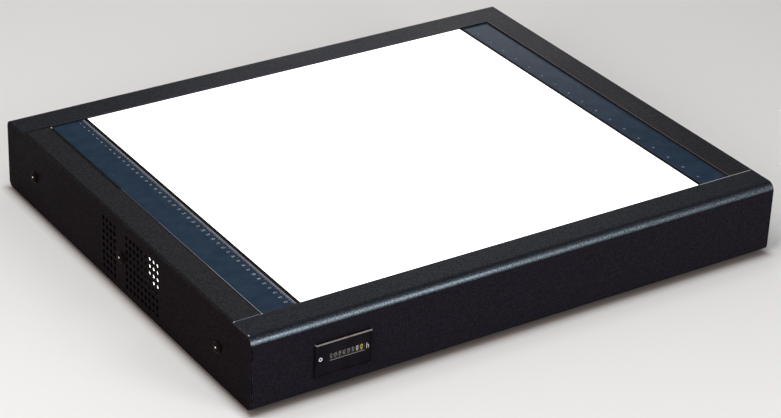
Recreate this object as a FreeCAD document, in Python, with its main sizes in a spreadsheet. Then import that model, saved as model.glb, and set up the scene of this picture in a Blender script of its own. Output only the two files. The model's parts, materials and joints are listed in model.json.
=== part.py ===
import FreeCAD, Part
import math
import os
import re
import Sketcher

# A flat light table: a black sheet-steel casing holds six fluorescent tubes in a white tray under an
# opal glass pane. Blue scale bands lie at the left and right of the glass, an hour counter sits in the
# front face and the mains inlet in the rear face.
# Frame: +X to the right along the front face, +Y to the rear, +Z up, origin on the floor at the middle.

SIZES = {
    # casing
    "casing_wide": 632,
    "casing_deep": 522,
    "casing_tall": 80,
    "sheet_thick": 1.5,
    "front_lip": 37,
    "rear_lip": 39,
    "left_strip": 33,
    "right_strip": 31,
    "bottom_lip": 30,
    "bend_round": 9,
    "fold_round": 2,
    "low_round": 7,
    "seam_gap": 0.3,
    "end_gap": 0.15,
    "proud_deep": 3.5,
    # feet and base plate
    "foot_tall": 4,
    "foot_radius": 10,
    "foot_inset": 26,
    "foot_side_inset": 36,
    "foot_bore": 2.2,
    "foot_recess": 4.6,
    "foot_recess_deep": 2.4,
    "base_thick": 1.2,
    "base_gap": 0.5,
    "slot_long": 44,
    "slot_wide": 4,
    "slot_pitch": 62,
    "slot_row": 172,
    "slot_count": 8,
    # glass, gasket and scale bands
    "glass_wide": 608,
    "glass_deep": 464,
    "glass_thick": 4,
    "glass_drop": 2,
    "gasket_wide": 9,
    "gasket_thick": 1,
    "left_band": 43.5,
    "right_band": 38.5,
    "band_under": 8,
    "band_thick": 0.25,
    "band_end_gap": 2,
    # tray and end walls
    "tray_thick": 1,
    "tray_floor_z": 20,
    "tray_floor_deep": 410,
    "tray_mouth_deep": 446,
    "wall_gap": 4.5,
    "wall_thick": 1,
    "wall_deep": 472,
    "wall_top_flange": 16,
    "wall_foot_flange": 13,
    "air_hole_y": -68,
    "air_hole_z": 56,
    "air_hole_radius": 22,
    "air_hole_top": 15,
    # ventilation holes in the side panels
    "vent_radius": 2.5,
    "vent_pitch": 8,
    "vent_rows": 8,
    "vent_first_y": 13,
    "vent_top_down": 13.25,
    "vent_rear_columns": 4,
    "vent_front_columns": 9,
    # side fasteners
    "side_screw_y": 197,
    "side_screw_down": 42,
    "clear_radius": 2.15,
    "thread_radius": 2.05,
    "shank_radius": 2,
    "washer_radius": 6.5,
    "washer_thick": 1,
    "button_radius": 5,
    "button_tall": 2.4,
    "button_shoulder": 4.5,
    "spacer_radius": 5,
    # base fasteners
    "base_screw_left": -81,
    "base_screw_right": 205,
    "base_screw_inset": 11,
    "wall_screw_inset": 13.5,
    "wall_screw_y": 120,
    "pan_radius": 3.5,
    "pan_tall": 2.2,
    "base_screw_long": 9,
    # lamps
    "lamp_count": 6,
    "lamp_pitch": 74,
    "lamp_z": 43,
    "lamp_long": 590,
    "lamp_radius": 12.7,
    "lamp_wall": 0.9,
    "cap_radius": 13,
    "cap_long": 8,
    "cap_floor": 1.5,
    "cap_clear": 0.05,
    "pin_radius": 1.175,
    "pin_long": 7,
    "pin_spread": 6.35,
    "holder_deep": 13.5,
    "holder_half": 12,
    "groove_deep": 8.5,
    "groove_inner": 4.6,
    "groove_outer": 8.1,
    "entry_half": 1.7,
    "entry_over": 1,
    # ballasts and terminal block
    "ballast_long": 160,
    "ballast_foot_long": 180,
    "ballast_deep": 30,
    "ballast_tall": 27,
    "ballast_foot_thick": 1.5,
    "ballast_y": 240,
    "ballast_hole_x": 85,
    "front_ballast_x": 60,
    "left_ballast_x": -176,
    "middle_ballast_x": 14,
    "terminal_x": 147,
    "terminal_long": 46,
    "terminal_deep": 18,
    "terminal_tall": 14,
    "terminal_pitch": 11,
    "terminal_well": 3,
    "terminal_count": 4,
    "earth_x": 188,
    "earth_tall": 13,
    # hour counter
    "counter_left": 68.75,
    "bezel_wide": 64,
    "bezel_tall": 37.5,
    "bezel_down": 25.6,
    "bezel_round": 2,
    "bezel_rim": 1.6,
    "bezel_sink": 0.6,
    "bezel_bevel": 1,
    "digit_left": 104.5,
    "digit_down": 43,
    "digit_pitch": 4.9,
    "drum_count": 8,
    "drum_wide": 4.7,
    "drum_radius": 10,
    "drum_clear": 1.2,
    "axle_radius": 1.5,
    "axle_clear": 0.05,
    "view_wide": 40.4,
    "view_tall": 8,
    "pane_thick": 1,
    "pane_gap": 0.1,
    "case_wide": 58,
    "case_tall": 31,
    "case_long": 37,
    "case_wall": 1.2,
    "cutout_gap": 0.5,
    "clip_wide": 3,
    "clip_thick": 4,
    "motor_side": 24,
    "motor_deep": 10,
    # mains inlet
    "inlet_x": 250,
    "inlet_z": 44,
    "flange_wide": 62,
    "flange_tall": 32,
    "flange_round": 3,
    "module_wide": 52,
    "module_tall": 25.6,
    "module_long": 28,
    "socket_x": -12,
    "socket_wide": 24,
    "socket_tall": 16.4,
    "socket_deep": 16,
    "socket_corner": 4,
    "blade_long": 11,
    "blade_wide": 2,
    "blade_tall": 4,
    "blade_spread": 7,
    "blade_offset": 2,
    "drawer_x": 5.7,
    "drawer_wide": 6.4,
    "drawer_tall": 20,
    "drawer_long": 21,
    "drawer_gap": 0.3,
    "drawer_grip": 1.2,
    "fuse_radius": 2.5,
    "fuse_long": 19,
    "fuse_deep": 9,
    "rocker_x": 18,
    "rocker_wide": 11.4,
    "rocker_half": 9.5,
    "rocker_front": 1.5,
    "rocker_back": -6,
    "rocker_pivot": -3,
    "rocker_tilt": 8,
    "rocker_dip": 1.1,
    "rocker_room": 10.7,
    "rocker_well": 10,
    # wiring
    "wire_radius": 1.2,
    "wire_lift": 3,
    "mains_pitch": 7,
    "mains_drop": 12,
    "mains_turn": 3.5,
    "mains_lift": 5,
    "mains_step": 3,
    "mains_reach": 8,
    "counter_wire_reach": 8,
    "counter_wire_turn": 4,
    "counter_wire_pitch": 6,
    "counter_wire_down": 14,
    "loom_lift": 6,
    "loom_rise": 12,
    "loom_shift": 6,
}

doc = FreeCAD.newDocument("LightTable")
sheet = doc.addObject("Spreadsheet::Sheet", "Sizes")
for row, (alias, number) in enumerate(SIZES.items(), 1):
    sheet.set(f"A{row}", alias)
    sheet.set(f"B{row}", str(number))
    sheet.setAlias(f"B{row}", alias)
doc.recompute()

nodes = []
X_AXIS = FreeCAD.Vector(1, 0, 0)
Y_AXIS = FreeCAD.Vector(0, 1, 0)
Z_AXIS = FreeCAD.Vector(0, 0, 1)
START_RADIUS = 100
START_CORNER = 30
START_ARC = 3
START_HALF = 20
THROUGH = "(4 * sheet_thick)"
BASE_TOP = "(foot_tall + sheet_thick + base_thick)"
CASING_TOP = "(foot_tall + casing_tall)"
WALL_OUTER_X = "(casing_wide / 2 - sheet_thick - wall_gap)"
FOOT_X = "(casing_wide / 2 - foot_side_inset)"
LIPS = {-1: "front_lip", 1: "rear_lip"}
STRIPS = {-1: "left_strip", 1: "right_strip"}
BALLASTS = {
    "front_ballast": ("front_ballast_x", "-1 * ballast_y"),
    "left_ballast": ("left_ballast_x", "ballast_y"),
    "middle_ballast": ("middle_ballast_x", "ballast_y"),
}
GLASS_TOP = f"({CASING_TOP} - glass_drop)"
RIM_Z = f"({GLASS_TOP} - glass_thick - gasket_thick)"
INLET_SPOT = ("inlet_x", "casing_deep / 2", "inlet_z")
COUNTER_X = "(counter_left + bezel_wide / 2 - casing_wide / 2)"
COUNTER_Z = f"({CASING_TOP} - bezel_down - bezel_tall / 2)"
DIGIT_X = "(digit_left - casing_wide / 2)"
DIGIT_Z = f"({CASING_TOP} - digit_down)"
FACE_Y = "(0 - casing_deep / 2)"
PANE_BACK_Y = f"({FACE_Y} - proud_deep + bezel_sink + pane_gap + pane_thick)"
DRUM_Y = f"({PANE_BACK_Y} + drum_clear + drum_radius)"


def size(alias):
    """A plain number from the sheet."""
    return float(sheet.get(alias))


def bound(text):
    """An expression over the sheet's aliases, spelled for setExpression."""
    return re.sub(r"[a-z][a-z_]+", lambda word: "Sizes." + word.group(), str(text))


# ---- helpers for PartDesign bodies -------------------------------------------------------------


def place(item, spot):
    """Bind an object's place to three expressions."""
    for axis, text in zip("xyz", spot):
        item.setExpression("Placement.Base." + axis, bound(text))


def new_body(label, spot=(0, 0, 0), node=True):
    body = doc.addObject("PartDesign::Body", label)
    body.Label = label
    body.AllowCompound = True
    place(body, spot)
    if node:
        nodes.append(body)
    return body


def origin_part(body, role):
    return next(item for item in body.Origin.OriginFeatures if item.Role == role)


def new_sketch(body, role, offset=0):
    """A sketch on one origin plane, moved along the plane's row axis by offset."""
    sketch = body.newObject("Sketcher::SketchObject", body.Label + "_sketch")
    sketch.AttachmentSupport = (origin_part(body, role), [""])
    sketch.MapMode = "FlatFace"
    sign = "-1 * " if role == "XZ_Plane" else ""
    sketch.setExpression(".AttachmentOffset.Base.z", sign + "(" + bound(offset) + ")")
    return sketch


def pin_point(sketch, index, point, spot):
    """Fix one point of a sketch at two bound distances from its origin."""
    for kind, text, start in zip(("DistanceX", "DistanceY"), spot, (spot[2], spot[3])):
        number = sketch.addConstraint(Sketcher.Constraint(kind, -1, 1, index, point, start))
        sketch.setExpression(f"Constraints[{number}]", bound(text))


def add_outline(sketch, corners):
    """A closed outline of straight lines through bound corners."""
    count = len(corners)
    first = sketch.GeometryCount
    spread = [
        (START_RADIUS * math.cos(2 * math.pi * k / count), START_RADIUS * math.sin(2 * math.pi * k / count))
        for k in range(count)
    ]
    for k in range(count):
        start = FreeCAD.Vector(*spread[k], 0)
        end = FreeCAD.Vector(*spread[(k + 1) % count], 0)
        sketch.addGeometry(Part.LineSegment(start, end), False)
    for k in range(count):
        sketch.addConstraint(Sketcher.Constraint("Coincident", first + k, 2, first + (k + 1) % count, 1))
    for k, corner in enumerate(corners):
        pin_point(sketch, first + k, 1, corner + spread[k])


def add_rectangle(sketch, middle, wide, tall):
    across, up = middle
    low_x, high_x = f"{across} - {wide} / 2", f"{across} + {wide} / 2"
    low_y, high_y = f"{up} - {tall} / 2", f"{up} + {tall} / 2"
    add_outline(sketch, [(low_x, low_y), (high_x, low_y), (high_x, high_y), (low_x, high_y)])


def add_circle(sketch, middle, radius):
    start = FreeCAD.Vector(START_HALF, START_HALF, 0)
    index = sketch.addGeometry(Part.Circle(start, Z_AXIS, START_ARC), False)
    pin_point(sketch, index, 3, middle + (START_HALF, START_HALF))
    number = sketch.addConstraint(Sketcher.Constraint("Radius", index, 1))
    sketch.setExpression(f"Constraints[{number}]", bound(radius))


def pad(body, sketch, length):
    """Extrude a sketch along its row axis."""
    feature = body.newObject("PartDesign::Pad", body.Label + "_pad")
    feature.Profile = sketch
    feature.Reversed = sketch.AttachmentSupport[0][0].Role == "XZ_Plane"
    feature.setExpression("Length", bound(length))
    doc.recompute()
    return feature


def pocket(body, sketch, length):
    """Cut a sketch out, half of the length to each side of its plane."""
    before = body.Shape.Volume
    feature = body.newObject("PartDesign::Pocket", body.Label + "_pocket")
    feature.Profile = sketch
    feature.SideType = "Symmetric"
    feature.setExpression("Length", bound(length))
    doc.recompute()
    if body.Shape.Volume >= before:
        raise RuntimeError(body.Label + ": a pocket cuts nothing")
    return feature


def revolve(body, sketch, axis):
    feature = body.newObject("PartDesign::Revolution", body.Label + "_turned")
    feature.Profile = sketch
    feature.ReferenceAxis = (sketch, [axis])
    feature.Angle = 360
    doc.recompute()
    return feature


def repeat(body, features, steps):
    """Repeat features: each step is (axis role, span, count) or (plane role,) for a mirror."""
    many = body.newObject("PartDesign::MultiTransform", body.Label + "_repeat")
    many.Originals = features
    moves = []
    for step in steps:
        if len(step) == 1:
            move = body.newObject("PartDesign::Mirrored", body.Label + "_mirror")
            move.MirrorPlane = (origin_part(body, step[0]), [""])
        else:
            move = body.newObject("PartDesign::LinearPattern", body.Label + "_row")
            move.Direction = (origin_part(body, step[0]), [""])
            move.setExpression("Length", bound(step[1]))
            move.setExpression("Occurrences", bound(step[2]))
        moves.append(move)
    many.Transformations = moves
    body.Tip = many
    doc.recompute()
    return many


def round_edges(body, radius, test):
    """Fillet the edges of the body's last feature that pass a test."""
    base = body.Tip
    names = [f"Edge{k + 1}" for k, edge in enumerate(base.Shape.Edges) if test(edge.BoundBox)]
    feature = body.newObject("PartDesign::Fillet", body.Label + "_round")
    feature.Base = (base, names)
    feature.setExpression("Radius", bound(radius))
    doc.recompute()
    return feature


def near(first, second):
    return abs(first - second) < 0.01


# ---- helpers for Part primitives ---------------------------------------------------------------


def finish(item, label, node):
    item.Label = label
    if node:
        nodes.append(item)
    return item


def box(label, lengths, corner, node=False):
    item = doc.addObject("Part::Box", label)
    for name, text in zip(("Length", "Width", "Height"), lengths):
        item.setExpression(name, bound(text))
    place(item, corner)
    return finish(item, label, node)


def cylinder(label, radius, length, start, axis=Z_AXIS, node=False):
    item = doc.addObject("Part::Cylinder", label)
    item.setExpression("Radius", bound(radius))
    item.setExpression("Height", bound(length))
    item.Placement.Rotation = FreeCAD.Rotation(Z_AXIS, axis)
    place(item, start)
    return finish(item, label, node)


def join(label, kind, parts, node=False):
    item = doc.addObject("Part::" + kind, label)
    if kind == "Compound":
        item.Links = parts
    else:
        item.Shapes = parts
    return finish(item, label, node)


def cut(label, base, tools, node=False):
    tool = tools[0] if len(tools) == 1 else join(label + "_tools", "MultiFuse", tools)
    item = doc.addObject("Part::Cut", label)
    item.Base = base
    item.Tool = tool
    return finish(item, label, node)


def pipe(route, radius, bend):
    """A round wire along straight runs joined by tangent arcs."""
    points = [FreeCAD.Vector(*spot) for spot in route]
    edges = []
    start = points[0]
    for before, corner, after in zip(points, points[1:], points[2:]):
        inward = (before - corner).normalize()
        onward = (after - corner).normalize()
        turn = math.pi - inward.getAngle(onward)
        reach = bend * math.tan(turn / 2)
        entry = corner + inward * reach
        leave = corner + onward * reach
        middle_way = (inward + onward).normalize()
        middle = corner + middle_way * (bend / math.cos(turn / 2) - bend)
        edges.append(Part.LineSegment(start, entry).toShape())
        edges.append(Part.Arc(entry, middle, leave).toShape())
        start = leave
    edges.append(Part.LineSegment(start, points[-1]).toShape())
    path = Part.Wire(edges)
    ring = Part.Wire([Part.Circle(points[0], points[1] - points[0], radius).toShape()])
    return path.makePipeShell([ring], True, False)


# ---- casing ------------------------------------------------------------------------------------


def channel_profile(label, side):
    """The front (side -1) or rear (side 1) steel profile: lip, face and bottom lip in one bent sheet."""
    body = new_body(label)
    face = f"{side} * casing_deep / 2"
    inside = f"{side} * (casing_deep / 2 - sheet_thick)"
    lip = f"{side} * (casing_deep / 2 - {LIPS[side]})"
    low_lip = f"{side} * (casing_deep / 2 - bottom_lip)"
    half = "casing_wide / 2 - sheet_thick - end_gap"
    sketch = new_sketch(body, "YZ_Plane", f"-1 * ({half})")
    add_outline(
        sketch,
        [
            (low_lip, "foot_tall"),
            (face, "foot_tall"),
            (face, CASING_TOP),
            (lip, CASING_TOP),
            (lip, f"{CASING_TOP} - sheet_thick"),
            (inside, f"{CASING_TOP} - sheet_thick"),
            (inside, "foot_tall + sheet_thick"),
            (low_lip, "foot_tall + sheet_thick"),
        ],
    )
    pad(body, sketch, f"2 * ({half})")
    top = size("foot_tall") + size("casing_tall")
    face_y = side * size("casing_deep") / 2
    inner_y = face_y - side * size("sheet_thick")
    low = size("foot_tall")

    def along(y, z):
        return lambda edge: edge.XLength > 1 and near(edge.Center.y, y) and near(edge.Center.z, z)

    round_edges(body, "bend_round", along(face_y, top))
    round_edges(body, "bend_round - sheet_thick", along(inner_y, top - size("sheet_thick")))
    round_edges(body, "low_round", along(face_y, low))
    round_edges(body, "low_round - sheet_thick", along(inner_y, low + size("sheet_thick")))
    return body


def lip_holes(body, side):
    """Clearance holes for the base screws and the foot screws in a bottom lip."""
    sketch = new_sketch(body, "XY_Plane", "foot_tall")
    spots = [
        ("base_screw_left", "base_screw_inset"),
        ("base_screw_right", "base_screw_inset"),
        (FOOT_X, "foot_inset"),
        (f"-1 * {FOOT_X}", "foot_inset"),
    ]
    for x_text, inset in spots:
        add_circle(sketch, (x_text, f"{side} * (casing_deep / 2 - {inset})"), "clear_radius")
    pocket(body, sketch, THROUGH)


def front_profile():
    body = channel_profile("front_profile", -1)
    lip_holes(body, -1)
    sketch = new_sketch(body, "XZ_Plane", "-1 * casing_deep / 2")
    opening = ("(case_wide + 2 * cutout_gap)", "(case_tall + 2 * cutout_gap)")
    add_rectangle(sketch, (COUNTER_X, COUNTER_Z), *opening)
    pocket(body, sketch, THROUGH)


def rear_profile():
    body = channel_profile("rear_profile", 1)
    lip_holes(body, 1)
    sketch = new_sketch(body, "XZ_Plane", "casing_deep / 2")
    add_rectangle(sketch, ("inlet_x", "inlet_z"), "(module_wide + cutout_gap)", "(module_tall + cutout_gap)")
    pocket(body, sketch, THROUGH)


def side_panel(label, side):
    """A flat end panel with a top flange between the lips and a bottom flange; side -1 is the left."""
    body = new_body(label)
    outer = f"{side} * casing_wide / 2"
    skin = f"{side} * (casing_wide / 2 - sheet_thick)"
    near_x = outer if side < 0 else skin
    plate = new_sketch(body, "YZ_Plane", near_x)
    add_rectangle(plate, (0, "(foot_tall + casing_tall / 2)"), "casing_deep", "casing_tall")
    pad(body, plate, "sheet_thick")
    top = size("foot_tall") + size("casing_tall")
    low = size("foot_tall")
    half_deep = size("casing_deep") / 2

    def corner(y, z):
        return lambda edge: edge.XLength > 1 and near(abs(edge.Center.y), y) and near(edge.Center.z, z)

    round_edges(body, "bend_round", corner(half_deep, top))
    round_edges(body, "low_round", corner(half_deep, low))
    strip = STRIPS[side]
    flange_long = "(casing_deep - front_lip - rear_lip - 2 * seam_gap)"
    top_flange = new_sketch(body, "XZ_Plane", "(front_lip + seam_gap - casing_deep / 2)")
    flange_middle = (f"{side} * (casing_wide / 2 - {strip} / 2)", f"({CASING_TOP} - sheet_thick / 2)")
    add_rectangle(top_flange, flange_middle, strip, "sheet_thick")
    pad(body, top_flange, flange_long)
    foot_half = "(casing_deep / 2 - bottom_lip - seam_gap)"
    low_flange = new_sketch(body, "XZ_Plane", f"-1 * {foot_half}")
    add_rectangle(
        low_flange,
        (f"{side} * (casing_wide / 2 - bottom_lip / 2)", "(foot_tall + sheet_thick / 2)"),
        "bottom_lip",
        "sheet_thick",
    )
    pad(body, low_flange, f"2 * {foot_half}")
    fold_corner(body, side, outer, flange_long)
    side_screw_z = f"{CASING_TOP} - side_screw_down"
    screw_holes = new_sketch(body, "YZ_Plane", near_x)
    for y_text in ("-1 * side_screw_y", "0", "side_screw_y"):
        add_circle(screw_holes, (y_text, side_screw_z), "clear_radius")
    pocket(body, screw_holes, THROUGH)
    wall_holes = new_sketch(body, "XY_Plane", "foot_tall")
    for y_text in ("-1 * wall_screw_y", "wall_screw_y"):
        add_circle(wall_holes, (f"{side} * (casing_wide / 2 - wall_screw_inset)", y_text), "clear_radius")
    pocket(body, wall_holes, THROUGH)
    vent_grid(body, near_x, 1, "vent_rear_columns")
    vent_grid(body, near_x, -1, "vent_front_columns")


def fold_corner(body, side, outer, length):
    """Cut the sharp edge between a side panel and its top flange back to a round fold."""
    sketch = new_sketch(body, "XZ_Plane", "(front_lip - rear_lip) / 2")
    inner = f"{side} * (casing_wide / 2 - fold_round)"
    corner_x, corner_y, reach = side * START_CORNER, START_CORNER, START_ARC
    centre = FreeCAD.Vector(corner_x - side * reach, corner_y - reach, 0)
    start_angle = 0 if side > 0 else math.pi / 2
    circle = Part.Circle(centre, Z_AXIS, reach)
    sketch.addGeometry(Part.ArcOfCircle(circle, start_angle, start_angle + math.pi / 2), False)
    low = FreeCAD.Vector(corner_x, corner_y - reach, 0)
    tip = FreeCAD.Vector(corner_x, corner_y, 0)
    flat = FreeCAD.Vector(corner_x - side * reach, corner_y, 0)
    sketch.addGeometry(Part.LineSegment(low, tip), False)
    sketch.addGeometry(Part.LineSegment(tip, flat), False)
    arc_ends = (1, 2) if side > 0 else (2, 1)
    sketch.addConstraint(Sketcher.Constraint("Coincident", 1, 2, 2, 1))
    sketch.addConstraint(Sketcher.Constraint("Coincident", 0, arc_ends[0], 1, 1))
    sketch.addConstraint(Sketcher.Constraint("Coincident", 0, arc_ends[1], 2, 2))
    pin_point(sketch, 1, 1, (outer, f"{CASING_TOP} - fold_round", corner_x, corner_y - reach))
    pin_point(sketch, 1, 2, (outer, CASING_TOP, corner_x, corner_y))
    pin_point(sketch, 2, 2, (inner, CASING_TOP, corner_x - side * reach, corner_y))
    number = sketch.addConstraint(Sketcher.Constraint("Radius", 0, reach))
    sketch.setExpression(f"Constraints[{number}]", bound("fold_round"))
    pocket(body, sketch, length)


def vent_grid(body, plane_x, way, columns):
    """A square grid of round ventilation holes on one side of the middle screw."""
    lowest = f"{CASING_TOP} - vent_top_down - (vent_rows - 1) * vent_pitch"
    first_y = "vent_first_y" if way > 0 else f"-1 * (vent_first_y + ({columns} - 1) * vent_pitch)"
    before = body.Shape.Volume
    sketch = new_sketch(body, "YZ_Plane", plane_x)
    add_circle(sketch, (first_y, lowest), "vent_radius")
    hole = pocket(body, sketch, THROUGH)
    one_hole = before - body.Shape.Volume
    steps = [
        ("Y_Axis", f"({columns} - 1) * vent_pitch", columns),
        ("Z_Axis", "(vent_rows - 1) * vent_pitch", "vent_rows"),
    ]
    repeat(body, [hole], steps)
    holes = size(columns) * size("vent_rows")
    if abs(before - body.Shape.Volume - holes * one_hole) > 0.01:
        raise RuntimeError(body.Label + ": ventilation holes are missing")


def base_plate():
    """The bottom cover inside the lips, with its screw holes and two rows of air slots."""
    body = new_body("base_plate")
    plate = new_sketch(body, "XY_Plane", "foot_tall + sheet_thick")
    wide = "(casing_wide - 2 * sheet_thick - 2 * base_gap)"
    add_rectangle(plate, (0, 0), wide, "(casing_deep - 2 * low_round - 2 * base_gap)")
    pad(body, plate, "base_thick")
    holes = new_sketch(body, "XY_Plane", "foot_tall + sheet_thick")
    spots = [
        ("base_screw_left", "casing_deep / 2 - base_screw_inset"),
        ("base_screw_right", "casing_deep / 2 - base_screw_inset"),
        (FOOT_X, "casing_deep / 2 - foot_inset"),
        (f"-1 * {FOOT_X}", "casing_deep / 2 - foot_inset"),
        ("casing_wide / 2 - wall_screw_inset", "wall_screw_y"),
        ("wall_screw_inset - casing_wide / 2", "wall_screw_y"),
    ]
    for x_text, y_text in spots:
        for sign in (-1, 1):
            add_circle(holes, (x_text, f"{sign} * ({y_text})"), "clear_radius")
    for ballast_x, ballast_y in BALLASTS.values():
        for sign in (-1, 1):
            add_circle(holes, (f"{ballast_x} + {sign} * ballast_hole_x", ballast_y), "thread_radius")
    pocket(body, holes, THROUGH)
    slots = new_sketch(body, "XY_Plane", "foot_tall + sheet_thick")
    add_rectangle(slots, ("(1 - slot_count) / 2 * slot_pitch", "-1 * slot_row"), "slot_long", "slot_wide")
    slot = pocket(body, slots, THROUGH)
    repeat(body, [slot], [("X_Axis", "(slot_count - 1) * slot_pitch", "slot_count"), ("XZ_Plane",)])


def feet():
    """Four rubber feet, each with a bore and a recess for its screw."""
    body = new_body("rubber_feet")
    spot = (f"-1 * {FOOT_X}", "(foot_inset - casing_deep / 2)")
    plan = new_sketch(body, "XY_Plane")
    add_circle(plan, spot, "foot_radius")
    foot = pad(body, plan, "foot_tall")
    bore_plan = new_sketch(body, "XY_Plane", "foot_tall / 2")
    add_circle(bore_plan, spot, "foot_bore")
    bore = pocket(body, bore_plan, "2 * foot_tall")
    recess_plan = new_sketch(body, "XY_Plane")
    add_circle(recess_plan, spot, "foot_recess")
    recess = pocket(body, recess_plan, "2 * foot_recess_deep")
    repeat(body, [foot, bore, recess], [("YZ_Plane",), ("XZ_Plane",)])


# ---- fasteners ---------------------------------------------------------------------------------


def screw(body, spot, shank_start):
    """One upright pan-head screw with its head below the height where its shank starts."""
    head = new_sketch(body, "XY_Plane", f"{shank_start} - pan_tall")
    add_circle(head, spot, "pan_radius")
    head_pad = pad(body, head, "pan_tall")
    shank = new_sketch(body, "XY_Plane", f"{shank_start} - pan_tall / 2")
    add_circle(shank, spot, "shank_radius")
    return [head_pad, pad(body, shank, "pan_tall / 2 + base_screw_long")]


def bottom_screws():
    """The screws that hold the base plate between the lips and the end walls, and those of the feet."""
    body = new_body("base_screws")
    lip_screw = screw(body, ("base_screw_left", "(base_screw_inset - casing_deep / 2)"), "foot_tall")
    repeat(body, lip_screw, [("X_Axis", "base_screw_right - base_screw_left", 2), ("XZ_Plane",)])
    wall_screw = screw(body, ("wall_screw_inset - casing_wide / 2", "-1 * wall_screw_y"), "foot_tall")
    repeat(body, wall_screw, [("YZ_Plane",), ("XZ_Plane",)])
    foot_body = new_body("foot_screws")
    foot_spot = (f"-1 * {FOOT_X}", "(foot_inset - casing_deep / 2)")
    foot_screw = screw(foot_body, foot_spot, "foot_recess_deep")
    repeat(foot_body, foot_screw, [("YZ_Plane",), ("XZ_Plane",)])


def side_fasteners():
    """Three button-head screws, washers and threaded standoffs at each side."""
    rows = [("Y_Axis", "2 * side_screw_y", 3), ("YZ_Plane",)]
    spot = (0, "-1 * side_screw_y", f"{CASING_TOP} - side_screw_down")
    under_head = "(0 - casing_wide / 2 - washer_thick)"
    tip = f"({under_head} + washer_thick + sheet_thick + wall_gap - end_gap)"

    screws = new_body("side_screws", spot)
    profile = new_sketch(screws, "XZ_Plane")
    add_outline(
        profile,
        [
            (f"{under_head} - button_tall", 0),
            (f"{under_head} - button_tall", "button_radius / 2"),
            (f"{under_head} - button_tall / 2", "button_shoulder"),
            (under_head, "button_radius"),
            (under_head, "shank_radius"),
            (tip, "shank_radius"),
            (tip, 0),
        ],
    )
    repeat(screws, [revolve(screws, profile, "H_Axis")], rows)

    washers = new_body("side_washers", spot)
    ring = new_sketch(washers, "YZ_Plane", under_head)
    add_circle(ring, (0, 0), "washer_radius")
    add_circle(ring, (0, 0), "clear_radius")
    repeat(washers, [pad(washers, ring, "washer_thick")], rows)

    standoffs = new_body("side_standoffs", spot)
    tube = new_sketch(standoffs, "YZ_Plane", "sheet_thick - casing_wide / 2")
    add_circle(tube, (0, 0), "spacer_radius")
    add_circle(tube, (0, 0), "thread_radius")
    repeat(standoffs, [pad(standoffs, tube, "wall_gap")], rows)


# ---- light box ---------------------------------------------------------------------------------


def end_wall(label, side):
    """A white inner end wall with a top flange for the glass, a foot flange and one air opening."""
    body = new_body(label)
    near_x = f"-1 * {WALL_OUTER_X}" if side < 0 else f"{WALL_OUTER_X} - wall_thick"
    plate = new_sketch(body, "YZ_Plane", near_x)
    add_rectangle(plate, (0, f"({RIM_Z} + {BASE_TOP}) / 2"), "wall_deep", f"({RIM_Z} - {BASE_TOP})")
    pad(body, plate, "wall_thick")
    flange_half = "(tray_mouth_deep / 2 - 2 * seam_gap)"
    top = new_sketch(body, "XZ_Plane", f"-1 * {flange_half}")
    top_x = f"{side} * ({WALL_OUTER_X} - wall_top_flange / 2)"
    add_rectangle(top, (top_x, f"({RIM_Z} - wall_thick / 2)"), "wall_top_flange", "wall_thick")
    pad(body, top, f"2 * {flange_half}")
    foot = new_sketch(body, "XZ_Plane", "0 - wall_deep / 2")
    foot_x = f"{side} * ({WALL_OUTER_X} - wall_foot_flange / 2)"
    add_rectangle(foot, (foot_x, f"({BASE_TOP} + wall_thick / 2)"), "wall_foot_flange", "wall_thick")
    pad(body, foot, "wall_deep")
    holes = new_sketch(body, "XY_Plane", BASE_TOP)
    for sign in (-1, 1):
        spot = (f"{side} * (casing_wide / 2 - wall_screw_inset)", f"{sign} * wall_screw_y")
        add_circle(holes, spot, "thread_radius")
    pocket(body, holes, THROUGH)
    air_opening(body, near_x)


def air_opening(body, plane_x):
    """A U-shaped opening: a half circle below and straight sides up to a flat top."""
    sketch = new_sketch(body, "YZ_Plane", plane_x)
    left, right = "air_hole_y - air_hole_radius", "air_hole_y + air_hole_radius"
    top = "air_hole_z + air_hole_top"
    half = START_HALF
    circle = Part.Circle(FreeCAD.Vector(0, 0, 0), Z_AXIS, half)
    sketch.addGeometry(Part.ArcOfCircle(circle, math.pi, 2 * math.pi), False)
    spots = [FreeCAD.Vector(*spot) for spot in ((half, 0, 0), (half, half, 0), (-half, half, 0), (-half, 0, 0))]
    for start, end in zip(spots, spots[1:]):
        sketch.addGeometry(Part.LineSegment(start, end), False)
    for first, second in ((0, 1), (1, 2), (2, 3), (3, 0)):
        sketch.addConstraint(Sketcher.Constraint("Coincident", first, 2, second, 1))
    pin_point(sketch, 1, 1, (right, "air_hole_z", half, 0))
    pin_point(sketch, 2, 1, (right, top, half, half))
    pin_point(sketch, 3, 1, (left, top, -half, half))
    pin_point(sketch, 3, 2, (left, "air_hole_z", -half, 0))
    number = sketch.addConstraint(Sketcher.Constraint("DistanceY", -1, 1, 0, 3, 0))
    sketch.setExpression(f"Constraints[{number}]", bound("air_hole_z"))
    pocket(body, sketch, THROUGH)


def reflector_tray():
    """The white tray under the tubes: a floor, two sloping sides and two flanges under the gasket."""
    body = new_body("reflector_tray")
    half_long = f"({WALL_OUTER_X} - wall_thick)"
    sketch = new_sketch(body, "YZ_Plane", f"-1 * {half_long}")
    half = [
        ("tray_floor_deep / 2", "tray_floor_z + tray_thick"),
        ("tray_mouth_deep / 2", RIM_Z),
        ("glass_deep / 2", RIM_Z),
        ("glass_deep / 2", f"{RIM_Z} - tray_thick"),
        ("tray_mouth_deep / 2 + tray_thick", f"{RIM_Z} - tray_thick"),
        ("tray_floor_deep / 2 + tray_thick", "tray_floor_z"),
    ]
    add_outline(sketch, half + [(f"-1 * ({across})", up) for across, up in reversed(half)])
    pad(body, sketch, f"2 * {half_long}")


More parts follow.
